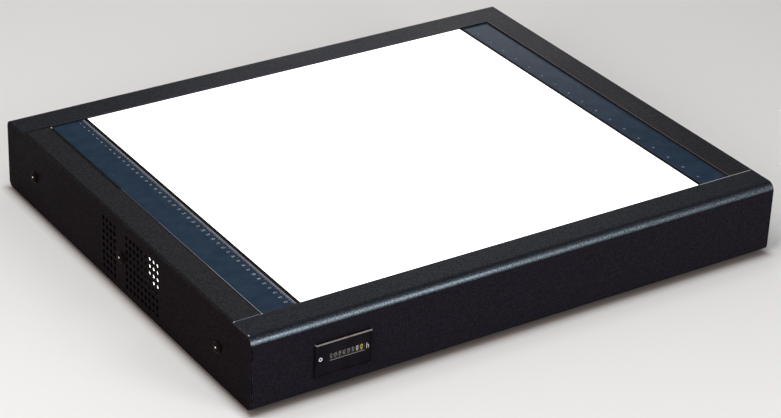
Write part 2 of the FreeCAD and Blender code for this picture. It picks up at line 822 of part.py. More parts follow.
def glass_and_gasket():
    """The gasket on the tray's rim, the opal glass on it and the two printed scale bands on the glass."""
    gasket = new_body("glass_gasket")
    ring = new_sketch(gasket, "XY_Plane", RIM_Z)
    add_rectangle(ring, (0, 0), "glass_wide", "glass_deep")
    add_rectangle(ring, (0, 0), "(glass_wide - 2 * gasket_wide)", "(glass_deep - 2 * gasket_wide)")
    pad(gasket, ring, "gasket_thick")
    pane_corner = ("0 - glass_wide / 2", "0 - glass_deep / 2", f"{GLASS_TOP} - glass_thick")
    box("glass_pane", ("glass_wide", "glass_deep", "glass_thick"), pane_corner, node=True)
    band_long = "glass_deep - 2 * band_end_gap"
    low_y = "band_end_gap - glass_deep / 2"
    left_x = "left_strip - band_under - casing_wide / 2"
    right_x = "casing_wide / 2 - right_strip - right_band"
    left_size = ("left_band + band_under", band_long, "band_thick")
    right_size = ("right_band + band_under", band_long, "band_thick")
    box("left_scale_band", left_size, (left_x, low_y, GLASS_TOP), node=True)
    box("right_scale_band", right_size, (right_x, low_y, GLASS_TOP), node=True)


def lamp(number):
    """One fluorescent tube and its two metal end caps with contact pins, on one axis along X."""
    lamp_y = f"({number} - (lamp_count + 1) / 2) * lamp_pitch"
    tube_half = "(lamp_long / 2 - cap_floor)"
    start = (f"-1 * {tube_half}", lamp_y, "lamp_z")
    label = f"lamp_{number}_tube"
    outer = cylinder(label + "_outer", "lamp_radius", f"2 * {tube_half}", start, X_AXIS)
    inner = cylinder(label + "_inner", "lamp_radius - lamp_wall", f"2 * {tube_half}", start, X_AXIS)
    cut(label, outer, [inner], node=True)
    caps = new_body(f"lamp_{number}_caps", (0, lamp_y, "lamp_z"))
    profile = new_sketch(caps, "XZ_Plane")
    end = "(0 - lamp_long / 2)"
    bore = "lamp_radius + cap_clear"
    add_outline(
        profile,
        [
            (end, 0),
            (end, "cap_radius"),
            (f"{end} + cap_long", "cap_radius"),
            (f"{end} + cap_long", bore),
            (f"{end} + cap_floor", bore),
            (f"{end} + cap_floor", 0),
        ],
    )
    cup = revolve(caps, profile, "H_Axis")
    pins = new_sketch(caps, "YZ_Plane", f"{end} - pin_long")
    for sign in (-1, 1):
        add_circle(pins, (f"{sign} * pin_spread", 0), "pin_radius")
    pin_pads = pad(caps, pins, "pin_long + cap_floor / 2")
    repeat(caps, [cup, pin_pads], [("YZ_Plane",)])


def lampholders(label, side):
    """Six lampholders on one end wall, each with a ring groove and an entry slot for the pins."""
    wall_x = f"({WALL_OUTER_X} - wall_thick)"
    body = new_body(label, (0, "(1 - lamp_count) / 2 * lamp_pitch", 0))
    back_x = f"-1 * {wall_x}" if side < 0 else f"({wall_x} - holder_deep)"
    face_x = f"{side} * ({wall_x} - holder_deep)"
    foot_z = "(tray_floor_z + tray_thick)"
    post = new_sketch(body, "YZ_Plane", back_x)
    add_rectangle(post, (0, f"({foot_z} + lamp_z) / 2"), "(2 * holder_half)", f"(lamp_z - {foot_z})")
    head = new_sketch(body, "YZ_Plane", back_x)
    add_circle(head, (0, "lamp_z"), "holder_half")
    pads = [pad(body, post, "holder_deep"), pad(body, head, "holder_deep")]
    groove = new_sketch(body, "YZ_Plane", face_x)
    add_circle(groove, (0, "lamp_z"), "groove_outer")
    add_circle(groove, (0, "lamp_z"), "groove_inner")
    slot = new_sketch(body, "YZ_Plane", face_x)
    low, high = "(lamp_z - groove_outer)", "(lamp_z + holder_half + entry_over)"
    add_rectangle(slot, (0, f"({low} + {high}) / 2"), "(2 * entry_half)", f"({high} - {low})")
    cuts = [pocket(body, groove, "2 * groove_deep"), pocket(body, slot, "2 * groove_deep")]
    repeat(body, pads + cuts, [("Y_Axis", "(lamp_count - 1) * lamp_pitch", "lamp_count")])


# ---- electrical parts --------------------------------------------------------------------------


def ballast(label, spot):
    """An electronic ballast in a flat case on a longer foot plate with a hole at each end."""
    body = new_body(label, spot + (BASE_TOP,))
    foot = new_sketch(body, "XY_Plane")
    add_rectangle(foot, (0, 0), "ballast_foot_long", "ballast_deep")
    pad(body, foot, "ballast_foot_thick")
    case = new_sketch(body, "XY_Plane", "ballast_foot_thick")
    add_rectangle(case, (0, 0), "ballast_long", "ballast_deep")
    pad(body, case, "ballast_tall")
    holes = new_sketch(body, "XY_Plane")
    for sign in (-1, 1):
        add_circle(holes, (f"{sign} * ballast_hole_x", 0), "clear_radius")
    pocket(body, holes, THROUGH)


def ballast_screws():
    """Two short pan-head screws for each ballast, heads up."""
    body = new_body("ballast_screws", (0, 0, BASE_TOP))
    for ballast_x, ballast_y in BALLASTS.values():
        shank = new_sketch(body, "XY_Plane", "0 - base_thick")
        head = new_sketch(body, "XY_Plane", "ballast_foot_thick")
        for sign in (-1, 1):
            spot = (f"{ballast_x} + {sign} * ballast_hole_x", ballast_y)
            add_circle(shank, spot, "shank_radius")
            add_circle(head, spot, "pan_radius")
        pad(body, shank, "base_thick + ballast_foot_thick + pan_tall / 2")
        pad(body, head, "pan_tall")


def terminal_block():
    """A four-way terminal block with a screw well over each way."""
    body = new_body("terminal_block", ("terminal_x", "ballast_y", BASE_TOP))
    plan = new_sketch(body, "XY_Plane")
    add_rectangle(plan, (0, 0), "terminal_long", "terminal_deep")
    pad(body, plan, "terminal_tall")
    well_plan = new_sketch(body, "XY_Plane", "terminal_tall")
    add_circle(well_plan, ("(1 - terminal_count) / 2 * terminal_pitch", 0), "terminal_well")
    well = pocket(body, well_plan, "2 * terminal_well")
    repeat(body, [well], [("X_Axis", "(terminal_count - 1) * terminal_pitch", "terminal_count")])


def earth_stud():
    """A threaded earth stud on the base plate with its nut run down."""
    spot = ("earth_x", "ballast_y", BASE_TOP)
    stud = cylinder("earth_post", "shank_radius", "earth_tall", spot)
    nut = doc.addObject("Part::Prism", "earth_nut")
    nut.Polygon = 6
    nut.setExpression("Circumradius", bound("pan_radius"))
    nut.setExpression("Height", bound("pan_tall"))
    place(nut, spot)
    join("earth_stud", "MultiFuse", [stud, nut], node=True)


# ---- hour counter ------------------------------------------------------------------------------


def counter_bezel():
    """The counter's front frame: bevelled edges, a shallow sunk face and the view opening."""
    body = new_body("counter_bezel", (COUNTER_X, FACE_Y, COUNTER_Z))
    plate = new_sketch(body, "XZ_Plane", "-1 * proud_deep")
    add_rectangle(plate, (0, 0), "bezel_wide", "bezel_tall")
    pad(body, plate, "proud_deep")
    round_edges(body, "bezel_round", lambda edge: edge.YLength > 1)
    front = -size("proud_deep")
    rounded = body.Tip
    names = [
        f"Edge{index}"
        for index, edge in enumerate(rounded.Shape.Edges, 1)
        if near(edge.BoundBox.YMin, front) and edge.BoundBox.YLength < 0.01
    ]
    bevel = body.newObject("PartDesign::Chamfer", "bezel_bevel_edge")
    bevel.Base = (rounded, names)
    bevel.setExpression("Size", bound("bezel_bevel"))
    doc.recompute()
    sunk = new_sketch(body, "XZ_Plane", "-1 * proud_deep")
    rim = "(2 * bezel_bevel + 2 * bezel_rim)"
    add_rectangle(sunk, (0, 0), f"(bezel_wide - {rim})", f"(bezel_tall - {rim})")
    pocket(body, sunk, "2 * bezel_sink")
    view = new_sketch(body, "XZ_Plane", 0)
    add_rectangle(view, (f"({DIGIT_X} - {COUNTER_X})", f"({DIGIT_Z} - {COUNTER_Z})"), "view_wide", "view_tall")
    pocket(body, view, "4 * proud_deep")


def counter_case():
    """An open-fronted plastic case behind the bezel, with a bore for the axle in each side wall."""
    low = (f"{COUNTER_X} - case_wide / 2", FACE_Y, f"{COUNTER_Z} - case_tall / 2")
    outside = box("case_outside", ("case_wide", "case_long", "case_tall"), low)
    room = ("case_wide - 2 * case_wall", "case_long - case_wall", "case_tall - 2 * case_wall")
    inside = box("case_room", room, (low[0] + " + case_wall", FACE_Y, low[2] + " + case_wall"))
    axle_start = (low[0], DRUM_Y, DIGIT_Z)
    bore = cylinder("case_bore", "axle_radius + axle_clear", "case_wide", axle_start, X_AXIS)
    cut("counter_case", outside, [inside, bore], node=True)
    cylinder("drum_axle", "axle_radius", "case_wide", axle_start, X_AXIS, node=True)
    motor_start = (f"{COUNTER_X}", f"{FACE_Y} + case_long - case_wall - motor_deep", COUNTER_Z)
    cylinder("counter_motor", "motor_side / 2", "motor_deep", motor_start, Y_AXIS, node=True)


def counter_clip():
    """The square spring ring that holds the case against the back of the front face."""
    back = f"{FACE_Y} + sheet_thick"
    wide, tall = "(case_wide + 2 * pane_gap)", "(case_tall + 2 * pane_gap)"
    body = new_body("counter_clip", (COUNTER_X, back, COUNTER_Z))
    ring = new_sketch(body, "XZ_Plane")
    add_rectangle(ring, (0, 0), f"({wide} + 2 * clip_wide)", f"({tall} + 2 * clip_wide)")
    add_rectangle(ring, (0, 0), wide, tall)
    pad(body, ring, "clip_thick")


def counter_window():
    """The clear pane in the bezel's view opening."""
    wide, tall = "(view_wide - 2 * pane_gap)", "(view_tall - 2 * pane_gap)"
    corner = (f"{DIGIT_X} - {wide} / 2", f"{PANE_BACK_Y} - pane_thick", f"{DIGIT_Z} - {tall} / 2")
    box("counter_window", (wide, "pane_thick", tall), corner, node=True)


def digit_drum(number):
    """One number drum, turning freely on the axle; drum 8 at the right shows tenths."""
    label = f"digit_drum_{number}"
    start_x = f"{DIGIT_X} + ({number} - (drum_count + 1) / 2) * digit_pitch - drum_wide / 2"
    start = (start_x, DRUM_Y, DIGIT_Z)
    rim = cylinder(label + "_rim", "drum_radius", "drum_wide", start, X_AXIS)
    bore = cylinder(label + "_bore", "axle_radius + axle_clear", "drum_wide", start, X_AXIS)
    cut(label, rim, [bore], node=True)


# ---- mains inlet -------------------------------------------------------------------------------


def inlet_housing():
    """The snap-in inlet: flange, body, socket recess, fuse drawer well and rocker well."""
    body = new_body("inlet_housing", INLET_SPOT)
    module = new_sketch(body, "XZ_Plane", "-1 * module_long")
    add_rectangle(module, (0, 0), "module_wide", "module_tall")
    pad(body, module, "module_long")
    flange = new_sketch(body, "XZ_Plane", 0)
    add_rectangle(flange, (0, 0), "flange_wide", "flange_tall")
    pad(body, flange, "proud_deep")
    half_wide = size("flange_wide") / 2

    def flange_corner(edge):
        return near(edge.YLength, size("proud_deep")) and near(abs(edge.Center.x), half_wide)

    round_edges(body, "flange_round", flange_corner)
    socket = new_sketch(body, "XZ_Plane", "proud_deep")
    left, right = "socket_x - socket_wide / 2", "socket_x + socket_wide / 2"
    top, bottom = "socket_tall / 2", "0 - socket_tall / 2"
    add_outline(
        socket,
        [
            (left, bottom),
            (right, bottom),
            (right, f"{top} - socket_corner"),
            (f"{right} - socket_corner", top),
            (f"{left} + socket_corner", top),
            (left, f"{top} - socket_corner"),
        ],
    )
    pocket(body, socket, "2 * socket_deep")
    drawer = new_sketch(body, "XZ_Plane", "proud_deep")
    well = ("(drawer_wide + 2 * drawer_gap)", "(drawer_tall + 2 * drawer_gap)")
    add_rectangle(drawer, ("drawer_x", 0), *well)
    pocket(body, drawer, "2 * (drawer_long + drawer_gap)")
    rocker = new_sketch(body, "XZ_Plane", "proud_deep")
    add_rectangle(rocker, ("rocker_x", 0), "(rocker_wide + 2 * drawer_gap)", "(2 * rocker_room)")
    pocket(body, rocker, "2 * (rocker_well + proud_deep)")


def inlet_blades():
    """The three contact blades in the socket recess."""
    body = new_body("inlet_blades", INLET_SPOT)
    plan = new_sketch(body, "XZ_Plane", "proud_deep - socket_deep")
    spots = [
        ("socket_x - blade_spread", "blade_offset"),
        ("socket_x", "0 - blade_offset"),
        ("socket_x + blade_spread", "blade_offset"),
    ]
    for spot in spots:
        add_rectangle(plan, spot, "blade_wide", "blade_tall")
    pad(body, plan, "blade_long")


def fuse_drawer():
    """The fuse drawer, open at one side for its fuse, with a finger notch in its front."""
    body = new_body("fuse_drawer", INLET_SPOT)
    front = "(proud_deep - end_gap)"
    plan = new_sketch(body, "XZ_Plane", f"{front} - drawer_long")
    add_rectangle(plan, ("drawer_x", 0), "drawer_wide", "drawer_tall")
    pad(body, plan, "drawer_long")
    notch = new_sketch(body, "XZ_Plane", front)
    add_rectangle(notch, ("drawer_x", 0), "(drawer_wide / 2)", "(drawer_tall / 2)")
    pocket(body, notch, "2 * drawer_grip")
    room = new_sketch(body, "YZ_Plane", "drawer_x + drawer_wide / 2")
    add_rectangle(room, ("0 - fuse_deep", 0), "(2 * fuse_radius + drawer_gap)", "(fuse_long + drawer_gap)")
    pocket(body, room, "2 * (2 * fuse_radius + drawer_gap)")
    fuse_x = "inlet_x + drawer_x + drawer_wide / 2 - fuse_radius - drawer_gap"
    fuse_y = "casing_deep / 2 - fuse_deep"
    cylinder("fuse", "fuse_radius", "fuse_long", (fuse_x, fuse_y, "inlet_z - fuse_long / 2"), node=True)


def power_rocker():
    """The rocker, drawn about its pivot and tilted to the on position."""
    spot = ("inlet_x + rocker_x - rocker_wide / 2", "casing_deep / 2 + rocker_pivot", "inlet_z")
    body = new_body("power_rocker", spot)
    profile = new_sketch(body, "YZ_Plane")
    front, back = "(rocker_front - rocker_pivot)", "(rocker_back - rocker_pivot)"
    add_outline(
        profile,
        [
            (back, "0 - rocker_half"),
            (front, "0 - rocker_half"),
            (f"{front} - rocker_dip", 0),
            (front, "rocker_half"),
            (back, "rocker_half"),
        ],
    )
    pad(body, profile, "rocker_wide")
    body.Placement.Rotation = FreeCAD.Rotation(X_AXIS, size("rocker_tilt"))


# ---- wiring ------------------------------------------------------------------------------------


def wires(label, routes):
    """Round wires in one harness, each along its own route."""
    harness = doc.addObject("Part::Feature", label)
    bend = 3 * size("wire_radius")
    harness.Shape = Part.makeCompound([pipe(route, size("wire_radius"), bend) for route in routes])
    finish(harness, label, True)


def mains_routes(low_z):
    """Three wires from the back of the inlet down and across to the terminal block's end."""
    rear_y = size("ballast_y")
    module_back = size("casing_deep") / 2 - size("module_long")
    block_end = size("terminal_x") + size("terminal_long") / 2
    bend_x = block_end + size("mains_reach")
    routes = []
    for k in (-1, 0, 1):
        wire_x = size("inlet_x") + size("mains_pitch") * k
        turn_y = module_back - size("mains_drop") + size("mains_turn") * k
        end_y = rear_y + size("mains_step") * k
        height = low_z + size("mains_lift") + size("mains_step") * k
        routes.append(
            [
                (wire_x, module_back, size("inlet_z")),
                (wire_x, turn_y, size("inlet_z")),
                (wire_x, turn_y, height),
                (bend_x, turn_y, height),
                (bend_x, end_y, height),
                (block_end, end_y, height),
            ]
        )
    return routes


def counter_routes(low_z):
    """Two wires from the terminal block forward under the tray and up to the back of the counter."""
    pitch = size("terminal_pitch")
    block_front = size("ballast_y") - size("terminal_deep") / 2
    counter_x = size("counter_left") + size("bezel_wide") / 2 - size("casing_wide") / 2
    case_back = size("case_long") - size("casing_deep") / 2
    case_z = size("foot_tall") + size("casing_tall") - size("bezel_down") - size("bezel_tall") / 2
    routes = []
    for k in (0, 1):
        block_x = size("terminal_x") + (k - (size("terminal_count") - 1) / 2) * pitch
        turn_y = case_back + size("counter_wire_reach") + size("counter_wire_turn") * k
        wire_x = counter_x + size("counter_wire_pitch") * k
        wire_z = case_z - size("counter_wire_down") + size("counter_wire_pitch") * k
        routes.append(
            [
                (block_x, block_front, low_z),
                (block_x, turn_y, low_z),
                (wire_x, turn_y, low_z),
                (wire_x, turn_y, wire_z),
                (wire_x, case_back, wire_z),
            ]
        )
    return routes


def loom_routes(low_z):
    """One lamp loom at each end, from a rear ballast along the outside of the end wall."""
    loom_x = size("casing_wide") / 2 - size("sheet_thick") - size("wall_gap") / 2
    left_end = size("left_ballast_x") - size("ballast_long") / 2
    right_end = size("middle_ballast_x") + size("ballast_long") / 2
    rear_y = size("ballast_y") + size("loom_shift")
    front_y = size("loom_shift") - size("ballast_y")
    loom_z = low_z + size("loom_lift")
    high_z = loom_z + size("loom_rise")
    routes = []
    for start_x, end_x in ((left_end, -loom_x), (right_end, loom_x)):
        routes.append(
            [
                (start_x, rear_y, high_z),
                (end_x, rear_y, high_z),
                (end_x, rear_y, loom_z),
                (end_x, front_y, loom_z),
            ]
        )
    return routes


def wiring():
    """Mains wires from inlet to terminals, counter wires under the tray and lamp looms at the ends."""
    base_top = size("foot_tall") + size("sheet_thick") + size("base_thick")
    low_z = base_top + size("wire_lift")
    wires("mains_wires", mains_routes(low_z))
    wires("counter_wires", counter_routes(low_z))
    wires("lamp_wires", loom_routes(low_z))


# ---- the whole light table ---------------------------------------------------------------------

front_profile()
rear_profile()
side_panel("left_side_panel", -1)
side_panel("right_side_panel", 1)
base_plate()
feet()
bottom_screws()
side_fasteners()
end_wall("left_end_wall", -1)
end_wall("right_end_wall", 1)
reflector_tray()
glass_and_gasket()
for lamp_number in range(1, int(size("lamp_count")) + 1):
    lamp(lamp_number)
lampholders("left_lampholders", -1)
lampholders("right_lampholders", 1)
for ballast_label, ballast_spot in BALLASTS.items():
    ballast(ballast_label, ballast_spot)
ballast_screws()
terminal_block()
earth_stud()
counter_bezel()
counter_case()
counter_clip()
counter_window()
for drum_number in range(1, int(size("drum_count")) + 1):
    digit_drum(drum_number)
inlet_housing()
inlet_blades()
fuse_drawer()
power_rocker()
wiring()

doc.recompute()
for item in doc.Objects:
    if "Invalid" in item.State or "Error" in item.State:
        raise RuntimeError(f"{item.Label} failed: {item.State}")
for node in nodes:
    if node.Shape.isNull() or not node.Shape.isValid():
        raise RuntimeError(node.Label + " has no valid shape")
    if not node.Shape.Solids:
        raise RuntimeError(node.Label + " has no solid")

os.makedirs("parts", exist_ok=True)
for node in nodes:
    node.Shape.exportStep("parts/" + node.Label + ".step")
print(len(nodes), "nodes written")
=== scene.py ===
import math

import bpy
from mathutils import Matrix, Vector
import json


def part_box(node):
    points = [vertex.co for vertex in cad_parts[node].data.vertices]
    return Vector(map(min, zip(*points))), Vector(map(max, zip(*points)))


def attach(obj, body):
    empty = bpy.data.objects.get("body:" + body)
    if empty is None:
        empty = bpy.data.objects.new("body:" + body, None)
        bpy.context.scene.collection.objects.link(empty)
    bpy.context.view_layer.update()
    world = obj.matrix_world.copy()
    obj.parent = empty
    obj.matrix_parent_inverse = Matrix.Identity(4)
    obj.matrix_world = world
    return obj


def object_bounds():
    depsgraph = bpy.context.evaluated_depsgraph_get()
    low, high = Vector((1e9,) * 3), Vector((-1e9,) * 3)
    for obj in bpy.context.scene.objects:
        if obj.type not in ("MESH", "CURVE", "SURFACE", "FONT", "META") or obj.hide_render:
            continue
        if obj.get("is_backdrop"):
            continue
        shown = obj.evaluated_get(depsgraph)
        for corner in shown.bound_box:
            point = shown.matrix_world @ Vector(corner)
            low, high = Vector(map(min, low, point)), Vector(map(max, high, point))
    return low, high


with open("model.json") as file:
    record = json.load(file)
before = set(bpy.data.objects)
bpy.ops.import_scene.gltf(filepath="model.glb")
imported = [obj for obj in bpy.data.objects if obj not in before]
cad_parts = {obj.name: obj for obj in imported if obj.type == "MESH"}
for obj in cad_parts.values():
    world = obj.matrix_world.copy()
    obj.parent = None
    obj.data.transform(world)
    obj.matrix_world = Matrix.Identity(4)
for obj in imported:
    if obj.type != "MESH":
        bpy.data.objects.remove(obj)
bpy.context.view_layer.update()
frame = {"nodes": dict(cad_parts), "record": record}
nodes = frame["nodes"]
MM = 0.001
LIFT = 0.03 * MM
PRINT_THICK = 0.05 * MM
MASK_SOFT = 0.1 * MM


# ---- material helpers --------------------------------------------------------------------------


def linear(*levels):
    """A colour given as 0 to 255 levels on a screen, in linear light."""
    def one(level):
        value = level / 255
        return value / 12.92 if value <= 0.04045 else ((value + 0.055) / 1.055) ** 2.4
    return tuple(one(level) for level in levels) + (1.0,)


def new_material(name, colour, roughness, metallic=0.0, specular=0.5):
    material = bpy.data.materials.new(name)
    material.use_nodes = True
    shader = material.node_tree.nodes["Principled BSDF"]
    shader.inputs["Base Color"].default_value = colour
    shader.inputs["Roughness"].default_value = roughness
    shader.inputs["Metallic"].default_value = metallic
    shader.inputs["Specular IOR Level"].default_value = specular
    return material, material.node_tree, shader


def add_node(tree, kind, **values):
    node = tree.nodes.new(kind)
    for key, value in values.items():
        setattr(node, key, value)
    return node


def math_node(tree, operation, first, second):
    node = add_node(tree, "ShaderNodeMath", operation=operation)
    for socket, value in zip(node.inputs, (first, second)):
        if isinstance(value, (int, float)):
            socket.default_value = value
        else:
            tree.links.new(value, socket)
    return node.outputs["Value"]


def times(tree, first, second):
    return math_node(tree, "MULTIPLY", first, second)


def plus(tree, first, second):
    return math_node(tree, "ADD", first, second)


def object_point(tree):
    return add_node(tree, "ShaderNodeTexCoord").outputs["Object"]


def axis_value(tree, vector, axis):
    split = add_node(tree, "ShaderNodeSeparateXYZ")
    tree.links.new(vector, split.inputs["Vector"])
    return split.outputs[axis]


def coordinate(tree, axis):
    return axis_value(tree, object_point(tree), axis)


def off_middle(tree, axis):
    """The distance from the middle plane across an axis."""
    return math_node(tree, "ABSOLUTE", coordinate(tree, axis), 0.0)


def facing_up(tree):
    """1 on a face that looks up, 0 on a wall."""
    return axis_value(tree, add_node(tree, "ShaderNodeNewGeometry").outputs["Normal"], "Z")


def noise(tree, scale, detail=2.0, roughness=0.5, stretch=None):
    """A noise value over object coordinates, in features per metre."""
    texture = add_node(tree, "ShaderNodeTexNoise")
    texture.inputs["Scale"].default_value = scale
    texture.inputs["Detail"].default_value = detail
    texture.inputs["Roughness"].default_value = roughness
    source = object_point(tree)
    if stretch:
        mapping = add_node(tree, "ShaderNodeMapping")
        mapping.inputs["Scale"].default_value = stretch
        tree.links.new(source, mapping.inputs["Vector"])
        source = mapping.outputs["Vector"]
    tree.links.new(source, texture.inputs["Vector"])
    return texture.outputs["Fac"]


def remap(tree, value, low, high, from_low=0.35, from_high=0.65):
    """Map a value to a range, clamped."""
    node = add_node(tree, "ShaderNodeMapRange")
    node.inputs["From Min"].default_value = from_low
    node.inputs["From Max"].default_value = from_high
    node.inputs["To Min"].default_value = low
    node.inputs["To Max"].default_value = high
    tree.links.new(value, node.inputs["Value"])
    return node.outputs["Result"]


def mix_colours(tree, factor, first, second):
    """A colour between two, either of them a colour or another node's output."""
    node = add_node(tree, "ShaderNodeMix", data_type="RGBA")
    tree.links.new(factor, node.inputs[0])
    colour_sockets = [socket for socket in node.inputs if socket.type == "RGBA"]
    for socket, value in zip(colour_sockets, (first, second)):
        if isinstance(value, tuple):
            socket.default_value = value
        else:
            tree.links.new(value, socket)
    return next(socket for socket in node.outputs if socket.type == "RGBA")


def add_bump(tree, shader, height, distance, strength=1.0):
    bump = add_node(tree, "ShaderNodeBump")
    bump.inputs["Distance"].default_value = distance
    bump.inputs["Strength"].default_value = strength
    tree.links.new(height, bump.inputs["Height"])
    tree.links.new(bump.outputs["Normal"], shader.inputs["Normal"])


def edge_mask(tree, radius, low, high):
    """1 near sharp edges, 0 elsewhere: how far the rounded normal leaves the true one."""
    bevel = add_node(tree, "ShaderNodeBevel", samples=4)
    bevel.inputs["Radius"].default_value = radius
    geometry = add_node(tree, "ShaderNodeNewGeometry")
    dot = add_node(tree, "ShaderNodeVectorMath", operation="DOT_PRODUCT")
    tree.links.new(bevel.outputs["Normal"], dot.inputs[0])
    tree.links.new(geometry.outputs["Normal"], dot.inputs[1])
    return remap(tree, dot.outputs["Value"], 1.0, 0.0, low, high)


def band_mask(tree, axis, low, high):
    """1 where an object coordinate lies between two heights, with a short soft edge."""
    value = coordinate(tree, axis)
    rise = remap(tree, value, 0.0, 1.0, low - MASK_SOFT, low + MASK_SOFT)
    fall = remap(tree, value, 1.0, 0.0, high - MASK_SOFT, high + MASK_SOFT)
    return times(tree, rise, fall)


# ---- materials ---------------------------------------------------------------------------------


def paint_marks(tree, colour, marks):
    """Paint flat marks of painted light and shade on the upward faces: each is x0, x1, y0, y1 in
    millimetres and a colour.
    """
    on_top = math_node(tree, "GREATER_THAN", facing_up(tree), 0.5)
    for x0, x1, y0, y1, mark in marks:
        across = band_mask(tree, "X", x0 * MM, x1 * MM)
        along = band_mask(tree, "Y", y0 * MM, y1 * MM)
        colour = mix_colours(tree, times(tree, times(tree, across, along), on_top), colour, mark)
    return colour


def scaled(colour, factor):
    return tuple(factor * level for level in colour[:3]) + (1.0,)


BLUISH = (0.72, 0.88, 1.0, 1.0)
REDDISH = (1.0, 0.84, 0.9, 1.0)
TOP_STARTS = 75 * MM
PROFILE_STARTS = 215 * MM


def coat_colour(tree, face, top, up, high, fine):
    """The coat's mottled colour, with painted light: a lighter colour where the face looks up on the top,
    as lit, and a darker one on the walls, as shaded.
    """
    coarse = noise(tree, 330.0, 2.0, 0.5)
    # Painted light and shade: the lighter top colour where the face looks up, the darker wall colour
    # elsewhere.
    level = times(tree, remap(tree, up, 0.0, 1.0, 0.15, 0.9), high)
    plain = mix_colours(tree, level, scaled(face, 0.95), scaled(top, 0.78))
    paler = mix_colours(tree, level, scaled(face, 1.7), scaled(top, 1.55))
    mottle = plus(tree, times(tree, fine, 0.7), times(tree, coarse, 0.3))
    return mix_colours(tree, remap(tree, mottle, 0.0, 1.0, 0.38, 0.64), plain, paler)


def edge_wear(tree, grained, high):
    """Bare scuffs and a painted highlight along the upper edges and the profiles' ends, none round the
    ventilation holes.
    """
    scuff = remap(tree, noise(tree, 210.0, 2.0), 0.0, 0.3, 0.45, 0.62)
    # Partly real scuffs, partly a painted highlight where the edges catch the light.
    scuff_and_sheen = mix_colours(tree, scuff, grained, linear(150, 150, 156))
    on_profile = math_node(tree, "GREATER_THAN", off_middle(tree, "Y"), PROFILE_STARTS)
    outer = math_node(tree, "MAXIMUM", high, on_profile)
    wear = times(tree, edge_mask(tree, 0.5 * MM, 0.78, 0.97), outer)
    return mix_colours(tree, wear, grained, scuff_and_sheen)


def coat_gloss(tree, up, high, wall_gloss):
    """Gloss that rises over the bend and falls again on the flat top, with a little left on the walls."""
    rise = remap(tree, up, 0.0, 0.98, 0.16, 0.4)
    fall = remap(tree, up, 0.0, 0.945, 0.6, 0.9)
    return plus(tree, times(tree, math_node(tree, "SUBTRACT", rise, fall), high), wall_gloss)


def powder_coat(name, face, top, marks=(), tint=BLUISH, wall_gloss=0.01):
    """Fine-textured black powder coat: matt on flat walls, glossier where the sheet is bent; its colour is
    painted darker on the walls as shade and lighter on the top as lit, and it carries any painted marks of
    light and shade that are given.
    """
    material, tree, shader = new_material(name, top, 0.4)
    shader.inputs["Specular Tint"].default_value = tint
    shader.inputs["IOR"].default_value = 1.8
    up = facing_up(tree)
    fine = noise(tree, 780.0, 2.0, 0.62)
    high = math_node(tree, "GREATER_THAN", coordinate(tree, "Z"), TOP_STARTS)
    edged = edge_wear(tree, coat_colour(tree, face, top, up, high, fine), high)
    tree.links.new(paint_marks(tree, edged, marks), shader.inputs["Base Color"])
    speckle = remap(tree, fine, 0.35, 1.9, 0.36, 0.66)
    gloss = times(tree, coat_gloss(tree, up, high, wall_gloss), speckle)
    tree.links.new(gloss, shader.inputs["Specular IOR Level"])
    cloud = noise(tree, 7.0, 2.0)
    rough = plus(tree, remap(tree, fine, 0.34, 0.46), remap(tree, cloud, -0.03, 0.03))
    tree.links.new(rough, shader.inputs["Roughness"])
    add_bump(tree, shader, fine, 0.16 * MM, 0.5)
    return material


def moulded(name, colour, roughness=0.5, grain=1500.0, depth=0.06, specular=0.5):
    """Moulded plastic or rubber: slight colour drift, fine sparking texture."""
    material, tree, shader = new_material(name, colour, roughness, specular=specular)
    fine = noise(tree, grain, 2.0)
    drift = noise(tree, 60.0, 3.0)
    lighter = tuple(min(1.0, 1.25 * level + 0.002) for level in colour[:3]) + (1.0,)
    drifted = mix_colours(tree, remap(tree, drift, 0.0, 1.0), colour, lighter)
    tree.links.new(drifted, shader.inputs["Base Color"])
    tree.links.new(remap(tree, fine, roughness - 0.06, roughness + 0.08), shader.inputs["Roughness"])
    add_bump(tree, shader, fine, depth * MM, 0.6)
    return material


def repaint(tree, mask, colour):
    """Lay a colour over a material's base colour where a mask is 1."""
    socket = tree.nodes["Principled BSDF"].inputs["Base Color"]
    tree.links.new(mix_colours(tree, mask, socket.links[0].from_socket, colour), socket)


def counter_plastic(name, colour, painted_bevel_highlight):
    """Smooth dark plastic whose upper bevel is painted lighter: a painted highlight where it catches the
    light.
    """
    material = moulded(name, colour, 0.4, 1400.0, 0.03, specular=0.04)
    tree = material.node_tree
    up = facing_up(tree)
    bevel = times(tree, math_node(tree, "GREATER_THAN", up, 0.5), math_node(tree, "LESS_THAN", up, 0.9))
    # Painted highlight over the upper bevel, where the face turns halfway up.
    repaint(tree, times(tree, bevel, remap(tree, noise(tree, 160.0, 2.0), 0.75, 1.0)), painted_bevel_highlight)
    return material


def rocker_plastic(name, colour, middle_x, middle_z):
    """Moulded plastic with a white stroke painted above the pivot and a ring below it."""
    material = moulded(name, colour, 0.35, specular=0.3)
    tree = material.node_tree
    wide = band_mask(tree, "X", middle_x - 0.35 * MM, middle_x + 0.35 * MM)
    stroke = times(tree, wide, band_mask(tree, "Z", middle_z + 3 * MM, middle_z + 7 * MM))
    aside = math_node(tree, "SUBTRACT", coordinate(tree, "X"), middle_x)
    above = math_node(tree, "SUBTRACT", coordinate(tree, "Z"), middle_z - 5 * MM)
    squares = plus(tree, times(tree, aside, aside), times(tree, above, above))
    reach = math_node(tree, "SQRT", squares, 0.0)
    outside = remap(tree, reach, 0.0, 1.0, 1.3 * MM, 1.5 * MM)
    inside = remap(tree, reach, 1.0, 0.0, 1.9 * MM, 2.1 * MM)
    repaint(tree, math_node(tree, "MAXIMUM", stroke, times(tree, outside, inside)), linear(225, 225, 222))
    return material


